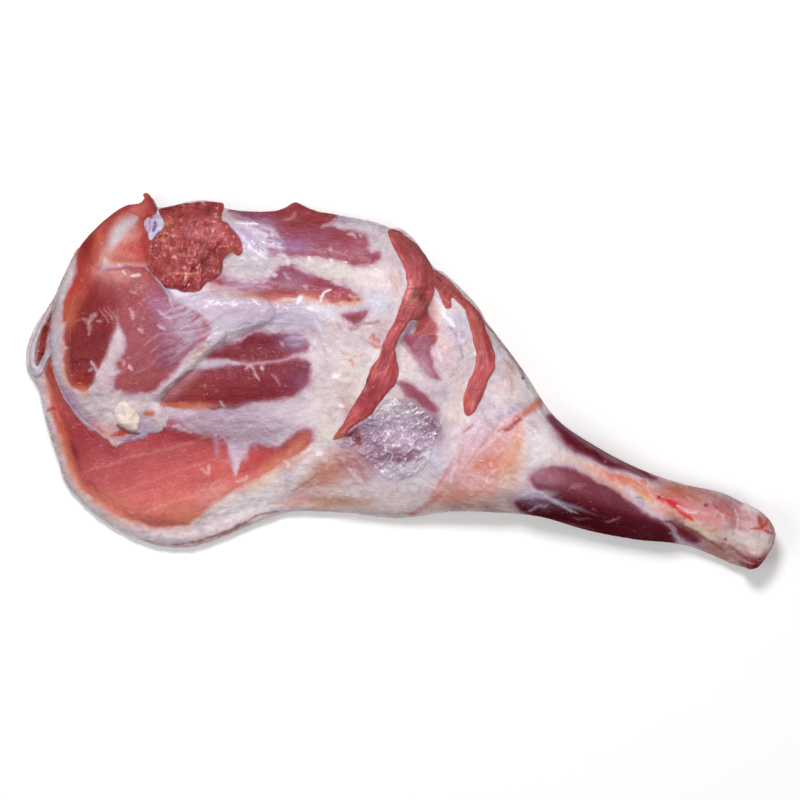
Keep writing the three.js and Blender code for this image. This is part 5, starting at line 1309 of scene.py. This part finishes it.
def strap_grain(piece, run_line, wrinkles):
    """Turns the grain along a strap's own run, and wrinkles it across where it bends."""
    co, up = read(piece, "co") / MM, read(piece, "normal")
    x, y = co[:, 0], co[:, 1]
    far, run, hand, _ = nearest_on(smooth_line(run_line, False), x, y)
    across = far * hand + 0.8 * ripple(x, y, 9, 41)
    creased = sum(strength * hump(y, middle, half) for middle, half, strength in wrinkles)
    threads = 0.7 - 2 * np.abs(ripple(run / 9, across, 1.7, 42)) + 0.8 * ripple(run / 6, across, 0.8, 44)
    folds = creased * (0.7 - 2 * np.abs(ripple(run + 0.35 * across, across / 6, 1.5, 43)))
    co[:, 2] += (0.22 * threads + 0.4 * folds) * smoothstep(0.2, 0.8, up[:, 2])
    place(piece, co)
    # painted shade and light: darker in the grooves of threads and wrinkles, lighter on their crests, and
    # pale painted highlights on the highest threads
    shade(piece, "lean", 0.96 + 0.16 * threads + 0.3 * folds, (226, 150, 146),
          0.35 * smoothstep(0.8, 1.1, threads))
    grain = piece.data.attributes["grain"].data
    values = np.column_stack([run, across, np.full(len(x), 0.1)])
    grain.foreach_set("vector", values.ravel())


for name, outline, run_line, colour, stains, wrinkles in (
    ("breast_strap", BREAST_STRAP, BREAST_RUN, (190, 96, 102), BREAST_STAINS,
     [(54, 14, 1.0), (36, 5, 0.5)]),
    ("elbow_strap", ELBOW_STRAP, ELBOW_RUN, (196, 104, 108), ELBOW_STAINS, [(56, 6, 0.6)]),
):
    strap = laid(name, outline, ground, STRAP_THICK, 2.6, 0.5, 6, wobble=0.45)
    muscle = {name: (outline, colour, 0, 0.0, 0.0, 0.1)}
    dress(strap, muscle, stains, [], (200, 116, 98), [], RED_FRINGES, [])
    strap_grain(strap, run_line, wrinkles)
    keep(strap, flesh(name + "_grain", 0.7, 0.9, 1.0))


# ---------------------------------------------------------------- knob, flap, tip and tendon end
# Small pieces that stand out: the cream gristle knob at the joint of the blade, the fold of
# fat at the far left, the red tip on the front edge, and the cut end of a tendon beside it.

# outline, thickness, width of the rounded rim, size of the faces, colour, stains, lines, muscles
SMALL_PIECES = {
    "gristle_knob": (
        [(-178, -15), (-180, -20), (-179, -25), (-175, -28), (-172, -30), (-168, -31.5), (-165, -31),
         (-164, -27), (-163.5, -23), (-166.5, -18), (-171, -13.5), (-175, -13)],
        2.3, 3.6, 0.45, (236, 222, 212),
        [(-170, -24, 8, 3, -70, (234, 216, 196), 0.6), (-176, -16, 4, 3, 0, (226, 214, 212), 0.8)], [], {}),
    "edge_flap": (
        [(-219.5, 51), (-224, 44), (-228, 37), (-231.5, 29), (-234, 21), (-235, 13), (-234, 7), (-232, 3),
         (-229, 2), (-226, 4.5), (-224, 8.5), (-221.5, 13), (-219.5, 16), (-219.5, 20.5), (-222, 20),
         (-225, 16.5), (-227, 13.5), (-229, 9.5), (-230.5, 12.5), (-230.3, 18), (-228.5, 25),
         (-226, 31.5), (-223.2, 37), (-220.8, 42)],
        # grey-white fat, painted greyer than the fat elsewhere as shade, as the fold faces away from the
        # lamps
        2.2, 2.2, 0.45, (188, 178, 186),
        [(-231, 8, 4, 4, 0, (216, 208, 216), 0.8), (-227.5, 26, 1.6, 14, -20, (206, 150, 122), 0.8),
         (-232, 20, 1.6, 10, 0, (190, 182, 190), 0.6)], [], {}),
    "red_tip": (
        [(-172, 108), (-169, 111.5), (-166, 112.2), (-163.5, 113.2), (-161.8, 115.5), (-162.8, 117.5),
         (-161.5, 119), (-159.3, 118.2), (-157.3, 115.5), (-155.5, 112), (-153.3, 108.5), (-152.5, 105),
         (-154.5, 103.8), (-158.5, 103), (-160.5, 100.5), (-164, 102), (-168, 104)],
        2.2, 1.8, 0.5, (214, 130, 110),
        [(-157, 112, 3, 7, 25, (140, 48, 48), 0.7), (-166, 107, 7, 5, 20, (202, 108, 98), 0.8),
         (-160, 118, 2.5, 1.5, 0, (196, 84, 60), 0.7), (-159, 104, 3, 3, 0, (184, 66, 66), 0.6)], [],
        {"red_tip": ([(-174, 107), (-169, 112.5), (-165, 113.5), (-163, 116), (-164, 118), (-161.5, 120.5),
                      (-158, 119), (-154, 112), (-151, 108), (-151, 103), (-158.5, 101.5), (-161, 99),
                      (-168, 102.5)], (176, 76, 72), 80, 0.0, 0.0, 0.1)}),
    "cut_tendon": (
        [(-158.8, 102.5), (-156, 102), (-153.5, 104.2), (-149.5, 102.5), (-147.3, 98.5), (-148.5, 94.5),
         (-152, 91.2), (-155.5, 87.3), (-157.3, 89), (-158, 92.5), (-160, 95), (-160.6, 99)],
        1.6, 2.4, 0.5, (178, 170, 204),
        [(-150, 97, 2, 6, -10, (200, 204, 216), 0.8), (-157, 91, 1.6, 4, 20, (198, 190, 214), 0.8),
         (-159, 99, 1.2, 4, 0, (186, 150, 182), 0.8), (-152, 93, 2.5, 3, 0, (168, 164, 206), 0.7)],
        [([(-153.2, 100), (-153.8, 97), (-155.2, 94)], 0.9, (126, 76, 116), 0.95, -1.0),
         ([(-157.5, 101), (-156.8, 97), (-157.6, 93)], 0.4, (146, 110, 150), 0.7, -0.3)], {}),
}


def lumpy(x, y):
    return 0.5 * ripple(x, y, 5, 61) + 0.3 * ripple(x, y, 2.2, 62)


def tip_tuck(x, y):
    """The red tip stands free at its top alone, and grows out of the muscle below it."""
    return 2.4 * smoothstep(110.5, 105, y)


ground = Ground([meat, cover, blade, torn, *skins])
for name, (outline, thick, rim, step, colour, stains, streaks, muscles) in SMALL_PIECES.items():
    piece = laid(name, outline, ground, thick, rim, step, 6, lumpy, wobble=0.3,
                 tuck=tip_tuck if name == "red_tip" else 0.0)
    dress(piece, muscles, stains, streaks, colour, stains, veils=[])
    keep(piece, flesh(name + "_flesh", 1.0, 0.5, 0.5))


# ---------------------------------------------------------------- membrane
# The clear, crinkled skin over the mauve muscle below the straps, wet and full of glints.

MEMBRANE_OUTLINE = [
    (-37, -36.5), (-30, -28), (-22, -23), (-15, -15), (-7, -10), (2, -11), (10, -14.5), (16, -18.5),
    (22.5, -22.5), (26, -27), (25, -33), (22, -37), (20.5, -44), (17, -52), (11, -58), (4, -62),
    (-4, -63), (-12, -61), (-18, -55), (-25, -49), (-32, -44), (-39, -42)]


def crinkles(x, y):
    """Sharp small folds that run up to the right, crossed by fine ones."""
    u, v = 0.82 * x + 0.57 * y, 0.82 * y - 0.57 * x
    u, v = u + 2 * ripple(x, y, 8, 71), v + 2 * ripple(x, y, 8, 72)
    coarse = 1 - 2 * np.abs(ripple(u / 2, v, 3.4, 73))
    fine = 1 - 2 * np.abs(ripple(u, v, 1.9, 74))
    return 0.7 * coarse + 0.45 * fine


membrane = laid("membrane", MEMBRANE_OUTLINE, ground, 0.35, 2.5, 0.55, 3, crinkles, tuck=0.8)
dress(membrane, MUSCLES, LEAN_STAINS, STREAKS)
film_points = read(membrane, "co") / MM
film_folds = crinkles(film_points[:, 0], film_points[:, 1])
# painted shade in the hollows of the folds, and painted highlights on their crests
shade(membrane, "fat", 0.92 + 0.35 * np.clip(film_folds, -1, 0.4), (244, 240, 246),
      0.6 * smoothstep(0.75, 1.05, film_folds))
FILM = {**WET, "IOR": 1.5, "Specular IOR Level": 0.95, "Coat Roughness": 0.05, "Coat IOR": 1.5}
keep(membrane, flesh("membrane_film", 1.0, 1.45, 1.0, FILM))


# ---------------------------------------------------------------- sinews
# Thin, pale strands of sinew and folds of silver skin that stand out on the leg. They grew on
# the muscles and stayed on them when the leg was cut. The near-white ones on the front of the
# shoulder stand for glints on its wet folds, so their tint is a painted highlight.

STRAND_SIDES = 8
STRAND_SHARE = 0.5  # of its full width, as a strand is drawn out


def strand_tree(material):
    """Geometry nodes that turn loose edges into round strands as thick as their points say."""
    tree = bpy.data.node_groups.new("strands", "GeometryNodeTree")
    for name, way, kind in (
        ("Edges", "INPUT", "NodeSocketGeometry"), ("Sides", "INPUT", "NodeSocketInt"),
        ("Share", "INPUT", "NodeSocketFloat"), ("Strands", "OUTPUT", "NodeSocketGeometry"),
    ):
        tree.interface.new_socket(name, in_out=way, socket_type=kind)
    wire = Wire(tree)
    given = tree.nodes.new("NodeGroupInput")
    edges, sides, share = (Wire(tree, given.outputs[i]) for i in range(3))
    half = wire.node("GeometryNodeInputNamedAttribute", {"data_type": "FLOAT"}, {"Name": "half"})
    ring = wire.node("GeometryNodeCurvePrimitiveCircle", None, {"Resolution": sides, "Radius": 1.0})
    runs = wire.node("GeometryNodeMeshToCurve", None, {0: edges})
    tubes = wire.node("GeometryNodeCurveToMesh", None, {0: runs, 1: ring, 2: half * share, 3: True})
    whole = wire.node("GeometryNodeRealizeInstances", None, {0: tubes})
    dressed = wire.node("GeometryNodeSetMaterial", None, {0: whole, "Material": material})
    tree.links.new(dressed.socket, tree.nodes.new("NodeGroupOutput").inputs[0])
    return tree


def grown(name, mesh, tree, inputs):
    """Runs geometry nodes on a mesh and keeps the result as a plain mesh in a new object."""
    piece = bpy.data.objects.new(name, mesh)
    bpy.context.scene.collection.objects.link(piece)
    nodes = piece.modifiers.new(name, "NODES")
    nodes.node_group = tree
    for item in tree.interface.items_tree:
        if item.name in inputs:
            nodes[item.identifier] = inputs[item.name]
    settle(piece)
    return piece


def sinew_skin():
    """Smooth, wet, slightly clear strands, each in its own pale tint."""
    material = bpy.data.materials.new("sinew")
    material.use_nodes = True
    wire = Wire(material.node_tree)
    at = wire.node("TexCoord", output=3)
    tint = wire.attribute("tint", COLOUR)
    lumps = at.noise(500.0, 2.0)
    bump = wire.node("Bump", None, {"Strength": 0.4, "Distance": 0.0006, "Height": lumps})
    colour = lumps.between(0.35, 0.65).mix(tint.times((0.9, 0.84, 0.88)), tint)
    finish(material, wire, WET, {"Base Color": colour, "Roughness": 0.34 - lumps * 0.25, "Normal": bump})
    return material


ground = Ground([meat, cover, knuckle, blade, gristle, membrane, *skins])
spots, links, halves, tints = [], [], [], []
for points, half, colour, strength, rise in STREAKS:
    if rise < STRAND_RISE:
        continue
    line = smooth_line(points, False, 6)
    t = np.linspace(0, 1, len(line))
    line[:, 0] += 0.3 * ripple(line[:, 0], line[:, 1], 3, 81)
    line[:, 1] += 0.3 * ripple(line[:, 0], line[:, 1], 3, 82)
    height = ground.height(line[:, :1].T, line[:, 1:].T)[0]
    taper = np.clip(0.12 + np.sin(np.pi * t) ** 0.7, 0, 1)
    drawn = half * taper * (1 + 0.25 * ripple(t * 9, t + half, 1, 83))
    links.extend((len(spots) + i, len(spots) + i + 1) for i in range(len(line) - 1))
    spots.extend(zip(line[:, 0], line[:, 1], height - 0.35 * drawn))
    halves.extend(drawn * MM)
    tints.extend([linear(colour)] * len(line))
strands_mesh = bpy.data.meshes.new("sinews")
strands_mesh.from_pydata((np.array(spots) * MM).tolist(), links, [])
strands_mesh.attributes.new("half", "FLOAT", "POINT").data.foreach_set("value", halves)
strands_mesh.attributes.new("tint", "FLOAT_COLOR", "POINT").data.foreach_set(
    "color", np.column_stack([tints, np.ones(len(tints))]).ravel())
sinew = sinew_skin()
sinews = grown("sinews", strands_mesh, strand_tree(sinew), {"Sides": STRAND_SIDES, "Share": STRAND_SHARE})
keep(sinews, sinew)


# ---------------------------------------------------------------- floor, light, camera
# A white sheet under the leg, a soft lamp over its front edge, at the top of the picture, and
# two weaker ones over its left and right.

FLOOR_HALF = 3.0
FLOOR_DROP = 0.4 * MM  # the sheet lies just clear of the leg
STUDIO_LIGHT = 0.27

floor_mesh = bpy.data.meshes.new("floor")
corners = [(-1, -1), (1, -1), (1, 1), (-1, 1)]
floor_mesh.from_pydata([(FLOOR_HALF * a, FLOOR_HALF * b, 0) for a, b in corners], [], [(0, 1, 2, 3)])
floor = bpy.data.objects.new("floor", floor_mesh)
floor.location.z = -FLOOR_DROP
bpy.context.scene.collection.objects.link(floor)
paper = bpy.data.materials.new("pale_floor")
paper.use_nodes = True
finish(paper, None, {"Base Color": (0.95, 0.95, 0.95, 1), "Roughness": 0.9}, {})
floor_mesh.materials.append(paper)
floor.visible_glossy = False  # the leg's wet sides stay as dark as on a dark table

world = bpy.data.worlds.new("studio")
world.use_nodes = True
world.node_tree.nodes["Background"].inputs["Color"].default_value = (1, 1, 1, 1)
world.node_tree.nodes["Background"].inputs["Strength"].default_value = STUDIO_LIGHT
world.cycles_visibility.glossy = False  # or its reflection would lie over dark muscle as a grey haze
bpy.context.scene.world = world


def lamp(name, at, size, power):
    light = bpy.data.lights.new(name, "AREA")
    light.shape = "RECTANGLE"
    light.size, light.size_y = size
    light.energy = power
    holder = bpy.data.objects.new(name, light)
    holder.location = at
    holder.rotation_euler = (-Vector(at)).to_track_quat("-Z", "Y").to_euler()
    bpy.context.scene.collection.objects.link(holder)


lamp("front_lamp", (-0.15, 0.7, 1.2), (0.45, 0.3), 13.6)
lamp("left_lamp", (-0.9, -0.3, 1.1), (0.8, 0.8), 5)
lamp("right_lamp", (0.8, -0.7, 1.2), (0.9, 0.9), 6)

VIEW_CENTRE = Vector((-0.4, -12.0, 25.0)) * MM
VIEW_WIDTH = 501.5 * MM  # of the leg's middle height, across the picture
camera_data = bpy.data.cameras.new("camera")
camera_data.lens = 150
camera = bpy.data.objects.new("camera", camera_data)
camera.location = VIEW_CENTRE + Vector((0, 0, VIEW_WIDTH * camera_data.lens / camera_data.sensor_width))
bpy.context.scene.collection.objects.link(camera)
bpy.context.scene.camera = camera
bpy.context.scene.view_settings.view_transform = "Standard"
